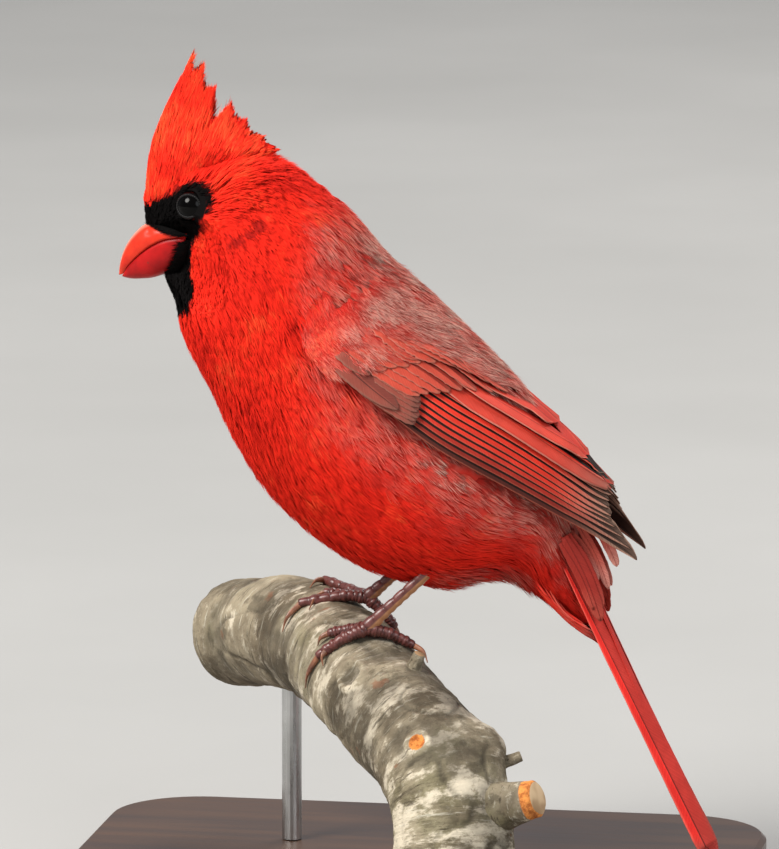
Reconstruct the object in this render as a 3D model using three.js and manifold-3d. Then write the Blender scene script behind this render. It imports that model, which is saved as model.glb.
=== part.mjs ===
// Northern cardinal, adult male: a still life-size model, gripping a cut length of branch
// that a plain display stand holds. Millimetres, +Z up. The bird faces -X and its left
// side is -Y. The origin is the centre of the base's underside.
import * as THREE from 'three';
import { LoftGeometry } from 'three/addons/geometries/LoftGeometry.js';
import { mergeVertices } from 'three/addons/utils/BufferGeometryUtils.js';
import Module from 'manifold-3d';

const wasm = await Module();
wasm.setup();

// Gap that touching pieces keep.
const GAP = 0.3;
const UP = new THREE.Vector3(0, 0, 1);

// Body outline in the bird's mirror plane, from the bill to the tail's root. Each station has
// its point on the back and on the front as [x, z], half its width, and how far down from the
// back it is widest, as a share of its height.
const BODY = [
  { back: [-63.5, 173.6], front: [-58.0, 158.8], half: 3.0, widest: 0.5 },
  { back: [-62.0, 180.6], front: [-56.6, 155.4], half: 5.4, widest: 0.5 },
  { back: [-53.9, 187.3], front: [-55.2, 151.8], half: 9.2, widest: 0.42 },
  { back: [-41.5, 190.0], front: [-54.8, 148.6], half: 14.2, widest: 0.46 },
  { back: [-30.1, 187.9], front: [-54.6, 146.0], half: 17.0, widest: 0.5 },
  { back: [-21.0, 183.2], front: [-53.6, 143.0], half: 19.3, widest: 0.52 },
  { back: [-12.3, 175.5], front: [-51.3, 138.6], half: 21.3, widest: 0.52 },
  { back: [-3.0, 164.0], front: [-46.9, 131.0], half: 22.8, widest: 0.53 },
  { back: [7.4, 154.9], front: [-40.8, 118.1], half: 23.8, widest: 0.54 },
  { back: [18.0, 145.0], front: [-32.1, 105.2], half: 24.0, widest: 0.55 },
  { back: [27.4, 135.8], front: [-19.4, 93.9], half: 23.0, widest: 0.56 },
  { back: [34.0, 126.8], front: [-5.5, 86.4], half: 21.0, widest: 0.56 },
  { back: [38.8, 116.4], front: [9.9, 83.9], half: 16.6, widest: 0.56 },
  { back: [43.0, 105.2], front: [25.5, 87.0], half: 10.6, widest: 0.5 },
  { back: [47.5, 95.5], front: [35.5, 80.6], half: 8.0, widest: 0.5 },
  { back: [51.4, 86.5], front: [43.4, 75.6], half: 6.2, widest: 0.5 },
];
const BODY_RINGS = 28;
const BODY_SIDES = 20;

// Thin plane cuts that part the body, each by its points on the back and on the front.
const HEAD_CUT = { back: [-24.5, 186.5], front: [-54.4, 145.0] };
const NECK_CUT = { back: [-7.0, 170.5], front: [-49.6, 135.6] };
const RUMP_CUT = { back: [42.2, 107.5], front: [22.5, 86.6] };

// The black face ends behind the eye and below the bib, as [x, z] down its rear edge.
const FACE_EDGE = [
  [-70, 174.6], [-63.6, 175.4], [-60.0, 177.0], [-57.1, 178.2], [-53.9, 180.8], [-50.1, 182.4],
  [-46.6, 182.2], [-44.9, 179.8], [-45.2, 176.6], [-47.4, 173.2], [-49.4, 169.8], [-50.5, 167.6],
  [-51.4, 164.9], [-51.1, 162.3], [-49.9, 159.1], [-49.4, 156.3], [-51.0, 152.7], [-54.2, 150.2], [-60, 148.6],
];

// Eyes, lids and the bill.
const EYE = { x: -49.6, z: 177.3, y: 8.0, radius: 4.0, openingRadius: 3.1, lid: 0.5 };
const BILL = [
  { culmen: [-59.6, 172.0], mouth: [-51.8, 169.4], gonys: [-54.6, 160.9], half: 7.0 },
  { culmen: [-62.9, 171.4], mouth: [-57.0, 168.5], gonys: [-58.3, 159.1], half: 6.3 },
  { culmen: [-65.4, 169.3], mouth: [-60.6, 166.8], gonys: [-61.4, 158.1], half: 5.4 },
  { culmen: [-67.4, 166.7], mouth: [-63.2, 164.9], gonys: [-64.0, 157.8], half: 4.4 },
  { culmen: [-68.7, 164.0], mouth: [-65.4, 162.9], gonys: [-66.2, 157.7], half: 3.3 },
  { culmen: [-69.5, 161.1], mouth: [-67.3, 160.9], gonys: [-67.9, 157.9], half: 2.1 },
  { culmen: [-69.8, 158.6], mouth: [-68.6, 158.9], gonys: [-68.9, 158.2], half: 0.9 },
];
const BILL_SIDES = 10;
const NOSTRIL = { x: -61.4, y: 4.7, z: 170.0, length: 0.95, depth: 0.7 };

// Crest: its core as slices from the crown up, with the points on the nape side and the forehead.
const CREST = [
  { back: [-24.0, 183.5], front: [-61.4, 176.0], half: 9.0, widest: 0.5 },
  { back: [-28.6, 188.8], front: [-61.6, 184.0], half: 6.4, widest: 0.48 },
  { back: [-36.2, 192.6], front: [-60.8, 190.8], half: 4.4, widest: 0.46 },
  { back: [-44.2, 197.6], front: [-57.9, 199.6], half: 2.0, widest: 0.44 },
];
// Crest feathers: lines that their roots and their tips follow from the forehead to the nape,
// and rows of them with how many, how far from the mirror plane and how much of their length.
const CREST_ROOTS = [[-60.6, 180.0], [-57.5, 185.0], [-52.0, 187.8], [-46.0, 189.0], [-40.0, 189.0], [-34.0, 187.6]];
const CREST_TIPS = [
  [-54.6, 206.0], [-51.1, 213.2], [-48.6, 210.6], [-45.4, 205.4], [-41.6, 202.4], [-37.8, 197.4], [-33.4, 193.6],
  [-28.3, 190.6],
];
const CREST_ROWS = [
  { count: 9, root: 0, tip: 0, reach: 1, from: 0.02, to: 1 },
  { count: 6, root: 2.6, tip: 1.2, reach: 0.92, from: 0.03, to: 0.95 },
  { count: 4, root: 5.0, tip: 3.4, reach: 0.68, from: 0, to: 0.9 },
];
const CREST_FEATHER_ROWS = [[0, 0.8], [0.5, 1], [0.82, 0.66], [1, 0.16]];
const CREST_FEATHER = { half: 1.7, thick: 1.35, bend: 0.07, uneven: 0.06, rearSize: 0.8 };

// Folded wing: stations from the bend of the wing to its tip. Low is the wing's lower edge and
// top the outline over the back, as [x, z]. Half is how far the lower edge stands off the mirror
// plane, bow how much the blade bows in towards the back, and edges the share of the height
// that the wing takes up. Sunk is how deep its outside lies and deep its thickness.
const WING = [
  { low: [-21.0, 151.5], top: [-7.0, 170.4], half: 24.4, bow: 1, edges: [0.14, 0.46], sunk: 2.2, deep: 5 },
  { low: [-16.6, 144.6], top: [-1.8, 164.4], half: 25.6, bow: 1, edges: [0.0, 0.6], sunk: 0.5, deep: 6 },
  { low: [-5.6, 135.2], top: [8.7, 154.4], half: 26.2, bow: 1, edges: [0, 0.76], sunk: 0, deep: 8 },
  { low: [4.6, 128.6], top: [17.4, 145.8], half: 26.2, bow: 1, edges: [0, 0.86], sunk: 0, deep: 8 },
  { low: [14.2, 122.0], top: [25.8, 137.8], half: 24.8, bow: 1, edges: [0, 0.93], sunk: 0, deep: 8 },
  { low: [28.3, 113.3], top: [38.0, 126.6], half: 19.8, bow: 1, edges: [0, 0.985], sunk: 0, deep: 5.5 },
  { low: [42.2, 104.4], top: [49.4, 114.0], half: 13.6, bow: 1, edges: [0, 0.985], sunk: 0, deep: 2.6 },
  { low: [47.8, 101.0], top: [53.4, 108.4], half: 11.4, bow: 0.85, edges: [0, 0.98], sunk: 0, deep: 2.4 },
  { low: [53.4, 97.2], top: [56.8, 101.7], half: 9.6, bow: 0.5, edges: [0, 0.95], sunk: 0, deep: 2.0 },
  { low: [59.4, 92.7], top: [60.4, 94.1], half: 8.4, bow: 0.2, edges: [0, 0.9], sunk: 0, deep: 1.2 },
];
const WING_RINGS = 9;
const WING_STEPS = 5;
// The core of the wing ends short of the feathers' tips and lies below their backs.
const WING_CORE = { end: 0.76, reach: 72, sunk: 1.35, low: 0.02 };
// Line along the wing from which places on it are measured.
const WING_START = [-16, 144];
const WING_RUN = [0.804, -0.595];

// Feathers of the wing in tiers: root and tip as [along the wing, up from its lower edge],
// width, and how high the tier lies. The first of each tier is the lowest.
const PRIMARIES = [
  { root: [18, 1.3], tip: [91.6, 1.0], width: 3.0 },
  { root: [18, 2.6], tip: [88.0, 2.3], width: 3.0 },
  { root: [18, 4.0], tip: [84.4, 3.6], width: 3.0 },
  { root: [18, 5.4], tip: [81.0, 4.8], width: 3.0 },
];
const SECONDARIES = [
  { root: [18, 6.8], tip: [78.4, 6.0], width: 3.1 },
  { root: [18, 8.3], tip: [77.2, 7.1], width: 3.1 },
  { root: [18, 9.8], tip: [76.2, 8.1], width: 3.1 },
  { root: [18, 11.3], tip: [74.6, 9.1], width: 3.1 },
];
const TERTIALS = [
  { root: [20, 13.2], tip: [78.6, 8.9], width: 4.8 },
  { root: [21, 15.8], tip: [72.6, 10.9], width: 5.4 },
  { root: [22, 18.4], tip: [65.4, 13.4], width: 6.0 },
];
const PRIMARY_COVERTS = [
  { root: [8, 2.2], tip: [28.6, 2.2], width: 3.4 },
  { root: [8, 4.2], tip: [27.2, 4.2], width: 3.4 },
  { root: [8, 6.0], tip: [25.8, 6.0], width: 3.2 },
];
const GREATER_COVERTS = [
  { root: [7, 7.8], tip: [24.8, 8.0], width: 3.9 },
  { root: [8, 10.2], tip: [27.6, 10.3], width: 3.9 },
  { root: [9, 12.5], tip: [30.3, 12.5], width: 3.9 },
  { root: [10, 14.8], tip: [33.0, 14.6], width: 3.9 },
  { root: [12, 17.0], tip: [35.8, 16.5], width: 3.9 },
  { root: [14, 19.2], tip: [38.4, 18.1], width: 3.5 },
];
const MEDIAN_COVERTS = [
  { root: [2, 9.0], tip: [15.0, 9.4], width: 4.4 },
  { root: [3, 12.2], tip: [17.4, 12.5], width: 4.8 },
  { root: [5, 15.4], tip: [20.0, 15.7], width: 4.8 },
  { root: [8, 18.4], tip: [22.8, 18.6], width: 4.2 },
];
const ALULA = [
  { root: [-1, 2.2], tip: [23.0, 1.6], width: 3.4 },
  { root: [-2, 5.0], tip: [12.0, 4.4], width: 3.6 },
];
const WING_TIERS = [
  { feathers: PRIMARIES, level: -0.85 },
  { feathers: SECONDARIES, level: -0.5 },
  { feathers: TERTIALS, level: -0.15 },
  { feathers: PRIMARY_COVERTS, level: 0.0 },
  { feathers: GREATER_COVERTS, level: 0.05 },
  { feathers: MEDIAN_COVERTS, level: 0.35 },
  { feathers: ALULA, level: 0.3 },
];
// A wing feather slopes from its raised outer edge down to its inner edge. Outer is the outer
// web's share of the width. Deep is its thickness over the core and thin beyond it.
const WING_FEATHER = { slope: 1.2, outer: 0.35, deep: 1.6, thin: 0.7 };
// Rows of points along a flight feather and along a covert: share of its length and of its width.
const FLIGHT_ROWS = [[0, 0.8], [0.4, 1], [0.74, 1], [0.94, 0.66], [1, 0.14]];
const COVERT_ROWS = [[0, 0.8], [0.6, 1], [0.88, 0.78], [1, 0.2]];

// Tail: its root inside the tail coverts, its tip, and the folded stack of its feathers.
const TAIL = { root: [45.3, 86.4], tip: [78.9, 17.2], halfRoot: 6.0, halfTip: 9.2, deepRoot: 4.0, deepTip: 2.2 };
const TAIL_PAIRS = 6;
// Shorter is the share of its length by which each pair falls short of the one above it. The
// middle pair stands off the mirror plane by the share middle of what the outermost does.
const TAIL_FEATHER = { width: 11, thick: 0.6, arch: 0.4, shorter: 0.016, middle: 0.25 };
const TAIL_ROWS = [[0, 0.5], [0.3, 0.66], [0.62, 0.86], [0.87, 1], [0.96, 0.82], [1, 0.34]];
const TAIL_CORE = 0.22;

// Tail coverts that stand off the rump: root and tip as [x, z], distance of both from the mirror
// plane, and width. Out is the side of the tail that they lie on.
const TAIL_COVERTS = [
  { root: [33.0, 86.5], tip: [48.0, 71.6], sides: [0, 0], width: 6.0, out: -1 },
  { root: [30.5, 88.0], tip: [44.4, 75.4], sides: [4.2, 4.4], width: 6.0, out: -1 },
  { root: [45.0, 95.5], tip: [52.6, 83.8], sides: [0, 0], width: 6.0, out: 1 },
  { root: [44.5, 96.0], tip: [52.8, 86.8], sides: [3.0, 3.6], width: 5.4, out: 1 },
];
const TAIL_COVERT = { thick: 0.8, arch: 0.5 };

// Perch: the axis of the cut branch as [x, y, z] from its far end to its near end, and its radius.
const PERCH_AXIS = [
  [-49.7, 50, 60.2], [-29.8, 26, 65.1], [-13.7, 3, 62.8], [1.9, -18, 54.9], [18.0, -39, 43.0], [22.6, -50, 19.4],
];
const PERCH_RADII = [13.4, 13.9, 14.0, 14.1, 14.4, 14.6];
const PERCH_RINGS = 18;
const PERCH_SIDES = 14;
// Marks on the bark by their place on the perch: ring-shaped scars, swellings and a cut stub.
const SCARS = [
  { place: [0.558, -50], radius: 3.7, raised: 1.1 },
  { place: [0.77, -40], radius: 3.2, raised: 0.8 },
];
const SWELLINGS = [{ place: [0.774, 50], radius: 9, raised: 2.6 }, { place: [0.5, -52], radius: 7, raised: 0.9 }];
const STUB = { place: [0.868, 49], radius: 5.2, length: 9 };

// Legs: the ankle in the belly feathers and the foot's joint on the perch, with the toes as
// places on the perch: how far along it as a share, and the turn round it in degrees.
const TARSUS = { top: 2.0, middle: 1.35, foot: 1.7, scutes: 8 };
const LEGS = {
  left: {
    ankle: [15.5, -10.0, 95.5], joint: [0.495, -11],
    toes: [
      [[0.484, -30], [0.465, -61], [0.450, -98]],
      [[0.487, -28], [0.472, -50], [0.488, -64]],
      [[0.472, -22], [0.446, -38], [0.441, -54]],
      [[0.510, 8], [0.530, 30], [0.566, 40]],
    ],
  },
  right: {
    ankle: [9.0, 9.5, 95.0], joint: [0.37, 22],
    toes: [
      [[0.355, 4], [0.318, -34], [0.325, -66]],
      [[0.350, 10], [0.322, -8], [0.346, -32]],
      [[0.310, 22], [0.246, 12], [0.272, -10]],
      [[0.385, 38], [0.392, 58], [0.386, 82]],
    ],
  },
};
const TOE_RADII = [1.5, 1.2, 0.92];
const TOE_SCUTES = 4;
const SCUTE_RAISED = 0.24;
const CLAW_BASE = 0.75;

// Stand: a flat base and two upright rods under the perch.
const BASE = { length: 168, width: 150, height: 12, corner: 22, bevel: 1.2 };
const ROD = { radius: 2.5, sides: 20 };
const ROD_PLACES = { stand_rod_rear: 0.17, stand_rod_front: 0.72 };

const flat = ([x, z]) => new THREE.Vector3(x, 0, z);
const mix = (a, b, share) => a + (b - a) * share;

// Closed mesh to solid, with its faces pointing out.
function solidOf(geometry) {
  const bare = new THREE.BufferGeometry();
  bare.setAttribute('position', geometry.attributes.position);
  bare.setIndex(geometry.index);
  const merged = mergeVertices(bare, 1e-4);
  const corners = Array.from(merged.index.array);
  const kept = [];
  for (let i = 0; i < corners.length; i += 3) {
    const [a, b, c] = corners.slice(i, i + 3);
    if (a !== b && b !== c && c !== a) kept.push(a, b, c);
  }
  const build = (triangles) => new wasm.Manifold(new wasm.Mesh({
    numProp: 3,
    vertProperties: new Float32Array(merged.attributes.position.array),
    triVerts: new Uint32Array(triangles),
  }));
  const solid = build(kept);
  return solid.volume() > 0 ? solid : build(kept.reverse());
}

// Solid through a row of rings, whichever way round each ring runs.
function loftSolid(rings) {
  const middle = Math.floor((rings.length - 1) / 2);
  const centreOf = (ring) => ring.reduce((sum, p) => sum.add(p), new THREE.Vector3()).divideScalar(ring.length);
  const centre = centreOf(rings[middle]);
  const onward = centreOf(rings[middle + 1]).sub(centre);
  const turn = rings[middle].reduce((sum, p, i, ring) => {
    const next = ring[(i + 1) % ring.length];
    return sum.add(p.clone().sub(centre).cross(next.clone().sub(centre)));
  }, new THREE.Vector3());
  const ordered = turn.dot(onward) > 0 ? rings : rings.map((ring) => [...ring].reverse());
  return solidOf(new LoftGeometry(ordered, { capStart: true, capEnd: true }));
}

// Closed blade from rows of points on its back and on its underside, with both faces split
// into the same triangles.
function bladeSolid(rows) {
  const across = rows[0].over.length;
  const last = rows.length - 1;
  const corners = rows.flatMap(({ over, under }) => [...over, ...under]);
  const at = (row, i, side) => (row * 2 + side) * across + i;
  const triangles = [];
  const quad = (a, b, c, d) => triangles.push(a, b, c, b, d, c);
  for (let row = 0; row < last; row += 1) {
    for (let i = 0; i + 1 < across; i += 1) {
      quad(at(row, i, 0), at(row, i + 1, 0), at(row + 1, i, 0), at(row + 1, i + 1, 0));
      triangles.push(at(row, i + 1, 1), at(row, i, 1), at(row + 1, i, 1));
      triangles.push(at(row + 1, i + 1, 1), at(row, i + 1, 1), at(row + 1, i, 1));
    }
    const end = across - 1;
    quad(at(row, 0, 1), at(row, 0, 0), at(row + 1, 0, 1), at(row + 1, 0, 0));
    quad(at(row, end, 0), at(row, end, 1), at(row + 1, end, 0), at(row + 1, end, 1));
  }
  for (let i = 0; i + 1 < across; i += 1) {
    quad(at(0, i, 1), at(0, i + 1, 1), at(0, i, 0), at(0, i + 1, 0));
    quad(at(last, i, 0), at(last, i + 1, 0), at(last, i, 1), at(last, i + 1, 1));
  }
  const geometry = new THREE.BufferGeometry().setFromPoints(corners);
  return solidOf(geometry.setIndex(triangles));
}

const joined = (solids) => solids.reduce((whole, solid) => whole.add(solid));
const largest = (solid) => solid.decompose().sort((a, b) => b.volume() - a.volume())[0];

function geometryOf(solid) {
  const mesh = solid.getMesh();
  const geometry = new THREE.BufferGeometry();
  geometry.setAttribute('position', new THREE.BufferAttribute(new Float32Array(mesh.vertProperties), 3));
  geometry.setIndex(Array.from(mesh.triVerts));
  geometry.computeVertexNormals();
  return geometry;
}

// Value of a list of numbers at a share of its length, smooth through each one.
function along(values, share) {
  const line = new THREE.SplineCurve(values.map((value, i) => new THREE.Vector2(i, value)));
  return line.getPoint(share).y;
}

// Outward normal of a surface given as a function of two numbers, from nearby points.
function normalAt(surface, u, v, stepU, stepV) {
  const alongU = surface(Math.min(u + stepU, 1), v).sub(surface(Math.max(u - stepU, 0), v));
  const alongV = surface(u, v + stepV).sub(surface(u, v - stepV));
  return alongV.cross(alongU).normalize();
}

// A form lofted through stations such as those of the body. Its point at a share of its length
// and an angle: 0 on the back, a quarter turn on the left side, half a turn on the front.
function makeForm(stations) {
  const back = new THREE.CatmullRomCurve3(stations.map((s) => flat(s.back)), false, 'catmullrom');
  const front = new THREE.CatmullRomCurve3(stations.map((s) => flat(s.front)), false, 'catmullrom');
  const halves = stations.map((s) => s.half);
  const widest = stations.map((s) => s.widest);
  const surface = (share, angle) => {
    const turn = Math.cos(angle);
    const middle = along(widest, share);
    const down = turn > 0 ? middle * (1 - turn) : middle - (1 - middle) * turn;
    const point = back.getPoint(share).lerp(front.getPoint(share), down);
    point.y = -along(halves, share) * Math.sin(angle);
    return point;
  };
  const lifted = (share, angle, lift) => {
    const point = surface(share, angle);
    return lift === 0 ? point : point.addScaledVector(normalAt(surface, share, angle, 0.004, 0.02), lift);
  };
  const solid = (rings, sides, lift = 0) => {
    const sections = [];
    for (let i = 0; i <= rings; i += 1) {
      const section = [];
      for (let j = 0; j < sides; j += 1) {
        section.push(lifted(i / rings, (j / sides) * 2 * Math.PI, lift));
      }
      sections.push(section);
    }
    if (lift > 0) {
      const start = back.getTangent(0).add(front.getTangent(0)).normalize();
      const end = back.getTangent(1).add(front.getTangent(1)).normalize();
      sections[0].forEach((point) => point.addScaledVector(start, -lift));
      sections[rings].forEach((point) => point.addScaledVector(end, lift));
    }
    return loftSolid(sections);
  };
  return { surface, lifted, solid };
}

// A wall as thin as the gap, square to the mirror plane, through a cut's two points.
function cutWall(cut) {
  const size = 120;
  const box = new THREE.BoxGeometry(size, size, GAP);
  const down = flat(cut.front).sub(flat(cut.back)).normalize();
  const across = new THREE.Vector3(0, 1, 0);
  const normal = new THREE.Vector3().crossVectors(down, across);
  const middle = flat(cut.back).add(flat(cut.front)).multiplyScalar(0.5);
  const place = new THREE.Matrix4().makeBasis(down, across, normal).setPosition(middle);
  return solidOf(box.applyMatrix4(place));
}

// Everything in front of the face's rear edge, which may be moved back by a gap.
function faceBlock(gap) {
  const edge = FACE_EDGE.map(([x, z]) => new THREE.Vector2(x, z));
  const moved = edge.map((point, i) => {
    const before = edge[Math.max(i - 1, 0)];
    const after = edge[Math.min(i + 1, edge.length - 1)];
    const run = after.clone().sub(before).normalize();
    return point.clone().add(new THREE.Vector2(-run.y, run.x).multiplyScalar(gap));
  });
  const outline = new THREE.Shape([new THREE.Vector2(-90, moved[0].y), ...moved,
    new THREE.Vector2(-90, moved[moved.length - 1].y)]);
  const depth = 50;
  const block = new THREE.ExtrudeGeometry(outline, { depth, bevelEnabled: false });
  block.translate(0, 0, -depth / 2).rotateX(Math.PI / 2);
  return solidOf(block);
}

const body = makeForm(BODY);
const bodySolid = body.solid(BODY_RINGS, BODY_SIDES);
const bodyClear = body.solid(BODY_RINGS, BODY_SIDES, GAP);

function sphere(centre, radius, across = 14, down = 8) {
  return solidOf(new THREE.SphereGeometry(radius, across, down).translate(centre.x, centre.y, centre.z));
}

const eyeCentre = (side) => new THREE.Vector3(EYE.x, side * EYE.y, EYE.z);

// Raised rim of the lids round an eye's opening.
function lidRing(side) {
  const ring = new THREE.TorusGeometry(EYE.openingRadius, EYE.lid, 5, 14);
  const outward = new THREE.Vector3(-0.22, side, 0.1).normalize();
  ring.applyQuaternion(new THREE.Quaternion().setFromUnitVectors(UP, outward));
  const reach = Math.sqrt(EYE.radius ** 2 - EYE.openingRadius ** 2);
  const centre = eyeCentre(side).addScaledVector(outward, reach);
  return solidOf(ring.translate(centre.x, centre.y, centre.z));
}

function partBody() {
  const walls = [HEAD_CUT, NECK_CUT, RUMP_CUT].map(cutWall);
  const parts = walls.reduce((solid, wall) => solid.subtract(wall), bodySolid).decompose();
  const centreOf = (solid) => {
    const box = solid.boundingBox();
    return (box.min[0] + box.max[0]) / 2;
  };
  return parts.sort((a, b) => centreOf(a) - centreOf(b));
}

function partHead(whole) {
  let face = whole.intersect(faceBlock(0)).subtract(billOpening());
  for (const side of [-1, 1]) {
    face = face.add(lidRing(side)).subtract(sphere(eyeCentre(side), EYE.radius + GAP));
  }
  return { face: largest(face), head: largest(whole.subtract(faceBlock(GAP))) };
}

// The opening in the face that the bill comes out of: its side outline, a gap wider.
function billOpening() {
  const { culmen, mouth, gonys } = BILL[0];
  const rear = [[-90, culmen[1] + GAP], [culmen[0] + GAP, culmen[1] + GAP], [mouth[0] + GAP, mouth[1] + GAP],
    [gonys[0] + GAP, gonys[1] - GAP], [gonys[0] - 4, gonys[1] - 3.2], [-90, gonys[1] - 6]];
  const depth = 60;
  const outline = new THREE.Shape(rear.map(([x, z]) => new THREE.Vector2(x, z)));
  const block = new THREE.ExtrudeGeometry(outline, { depth, bevelEnabled: false });
  return solidOf(block.translate(0, 0, -depth / 2).rotateX(Math.PI / 2));
}

// Upper mandible: from the culmen's ridge round to the edges of the mouth.
function billUpper() {
  const rings = BILL.map((station) => {
    const ridge = flat(station.culmen);
    const mouth = flat(station.mouth);
    const ring = [];
    for (let i = 0; i <= BILL_SIDES; i += 1) {
      const angle = mix(-Math.PI / 2, Math.PI / 2, i / BILL_SIDES);
      const point = mouth.clone().lerp(ridge, Math.cos(angle) ** 0.85);
      point.y = station.half * Math.sin(angle);
      ring.push(point);
    }
    ring.push(mouth.clone().lerp(ridge, 0.06));
    return ring;
  });
  let bill = loftSolid(rings);
  for (const side of [-1, 1]) {
    const pit = new THREE.SphereGeometry(1, 8, 6).scale(NOSTRIL.length, NOSTRIL.depth, NOSTRIL.depth);
    bill = bill.subtract(solidOf(pit.translate(NOSTRIL.x, side * NOSTRIL.y, NOSTRIL.z)));
  }
  return largest(bill);
}

// Lower mandible: a gap below the upper one, from the mouth's edges round to the gonys.
function billLower() {
  const rings = BILL.map((station) => {
    const keel = flat(station.gonys);
    const mouth = flat(station.mouth);
    const down = keel.clone().sub(mouth).normalize();
    mouth.addScaledVector(down, GAP + 0.1);
    keel.addScaledVector(down, 0.2);
    const half = station.half * 0.94;
    const ring = [];
    for (let i = 0; i <= BILL_SIDES; i += 1) {
      const angle = mix(-Math.PI / 2, Math.PI / 2, i / BILL_SIDES);
      const point = mouth.clone().lerp(keel, Math.cos(angle) ** 0.8);
      point.y = half * Math.sin(angle);
      ring.push(point);
    }
    ring.push(mouth.clone().lerp(keel, 0.06));
    return ring;
  });
  return loftSolid(rings);
}

// One crest feather: a tapered lock from its root to its tip, bent back a little.
function crestFeather(root, tip, size) {
  const run = tip.clone().sub(root);
  const across = new THREE.Vector3(0, 1, 0);
  const back = new THREE.Vector3().crossVectors(across, run).normalize();
  const bend = run.length() * CREST_FEATHER.bend;
  const rings = CREST_FEATHER_ROWS.map(([share, broad]) => {
    const centre = root.clone().addScaledVector(run, share).addScaledVector(back, -bend * Math.sin(share * Math.PI));
    const half = across.clone().multiplyScalar(CREST_FEATHER.half * size * broad);
    const thick = back.clone().multiplyScalar(CREST_FEATHER.thick * size * Math.max(broad, 0.4));
    return [centre.clone().add(half), centre.clone().add(thick), centre.clone().sub(half), centre.clone().sub(thick)];
  });
  return loftSolid(rings);
}

function crestNode() {
  const roots = new THREE.CatmullRomCurve3(CREST_ROOTS.map(flat), false, 'catmullrom');
  const tips = new THREE.CatmullRomCurve3(CREST_TIPS.map(flat), false, 'catmullrom');
  const feathers = [makeForm(CREST).solid(7, 12)];
  CREST_ROWS.forEach((row, rowIndex) => {
    for (let i = 0; i < row.count; i += 1) {
      const share = mix(row.from, row.to, i / (row.count - 1));
      const sides = row.root === 0 ? [1] : [-1, 1];
      sides.forEach((side) => {
        const root = roots.getPoint(share);
        const uneven = 1 - CREST_FEATHER.uneven * ((i * 2 + rowIndex + (side > 0 ? 1 : 0)) % 3);
        const tip = root.clone().lerp(tips.getPoint(share), row.reach * uneven);
        root.y = side * row.root;
        tip.y = side * row.tip;
        feathers.push(crestFeather(root, tip, mix(1, CREST_FEATHER.rearSize, share)));
      });
    }
  });
  return largest(joined(feathers).subtract(bodyClear));
}

// The folded wing's surface: share runs from the bend to the tip, height from the lower edge (0)
// to the outline over the back (1).
const wingCurves = {
  low: new THREE.CatmullRomCurve3(WING.map((s) => flat(s.low)), false, 'catmullrom'),
  top: new THREE.CatmullRomCurve3(WING.map((s) => flat(s.top)), false, 'catmullrom'),
};
const wingValue = (name, share) => along(WING.map((s) => s[name]), share);

function wingSurface(share, height) {
  const point = wingCurves.low.getPoint(share).lerp(wingCurves.top.getPoint(share), height);
  const round = Math.sqrt(Math.max(1 - height * height, 0));
  point.y = -wingValue('half', share) * (1 - wingValue('bow', share) * (1 - round));
  return point;
}

function wingPoint(share, height, lift) {
  const normal = normalAt(wingSurface, share, Math.min(height, 0.97), 0.01, 0.02);
  if (normal.y > 0) normal.negate();
  return wingSurface(share, height).addScaledVector(normal, lift);
}

function wingCore() {
  const rings = [];
  for (let i = 0; i <= WING_RINGS; i += 1) {
    const share = (i / WING_RINGS) * WING_CORE.end;
    const lowEdge = along(WING.map((s) => s.edges[0]), share) + WING_CORE.low;
    const topEdge = Math.min(along(WING.map((s) => s.edges[1]), share), 0.985);
    const sunk = Math.max(wingValue('sunk', share), 0) + WING_CORE.sunk;
    const deep = wingValue('deep', share) - WING_CORE.sunk;
    const outer = [];
    const inner = [];
    for (let j = 0; j <= WING_STEPS; j += 1) {
      const height = mix(lowEdge, topEdge, j / WING_STEPS);
      outer.push(wingPoint(share, height, -sunk));
      inner.unshift(wingPoint(share, height, -sunk - deep));
    }
    rings.push([...outer, ...inner]);
  }
  return loftSolid(rings);
}

// Half of space on the left of the mirror plane, kept clear of it.
function leftHalf() {
  const size = 300;
  return solidOf(new THREE.BoxGeometry(size, size, size).translate(0, -size / 2 - GAP / 2 - 0.05, 100));
}

// Share of the wing's length at a distance along it.
function wingShare(reach) {
  const start = flat(WING_START);
  const run = flat(WING_RUN);
  let near = 0;
  let far = 1;
  for (let i = 0; i < 24; i += 1) {
    const middle = (near + far) / 2;
    if (wingCurves.low.getPoint(middle).sub(start).dot(run) < reach) near = middle;
    else far = middle;
  }
  return near;
}

// Point at a distance along the wing, up from its lower edge and out of its surface.
function wingPlace(reach, up, lift) {
  const share = wingShare(reach);
  const chord = wingCurves.low.getPoint(share).distanceTo(wingCurves.top.getPoint(share));
  return wingPoint(share, THREE.MathUtils.clamp(up / chord, -0.02, 0.985), lift);
}

function wingFeather({ root, tip, width }, level, rows) {
  const { slope, outer, deep, thin } = WING_FEATHER;
  return bladeSolid(rows.map(([share, broad]) => {
    const reach = mix(root[0], tip[0], share);
    const shaft = mix(root[1], tip[1], share);
    const edges = [-outer * width * broad, (1 - outer) * width * broad];
    const thick = reach < WING_CORE.reach ? deep : thin;
    const place = (edge, drop) => {
      return wingPlace(reach, shaft + edge, level + slope * (outer - edge / width) - drop);
    };
    return { over: edges.map((edge) => place(edge, 0)), under: edges.map((edge) => place(edge, thick)) };
  }));
}

function wingNode() {
  const pieces = [wingCore()];
  WING_TIERS.forEach(({ feathers, level }) => {
    const rows = feathers[0].tip[0] > WING_CORE.reach ? FLIGHT_ROWS : COVERT_ROWS;
    feathers.forEach((feather) => pieces.push(wingFeather(feather, level, rows)));
  });
  return largest(joined(pieces).intersect(leftHalf()).subtract(bodyClear));
}

const mirrored = (solid) => solid.mirror([0, 1, 0]);

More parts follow.
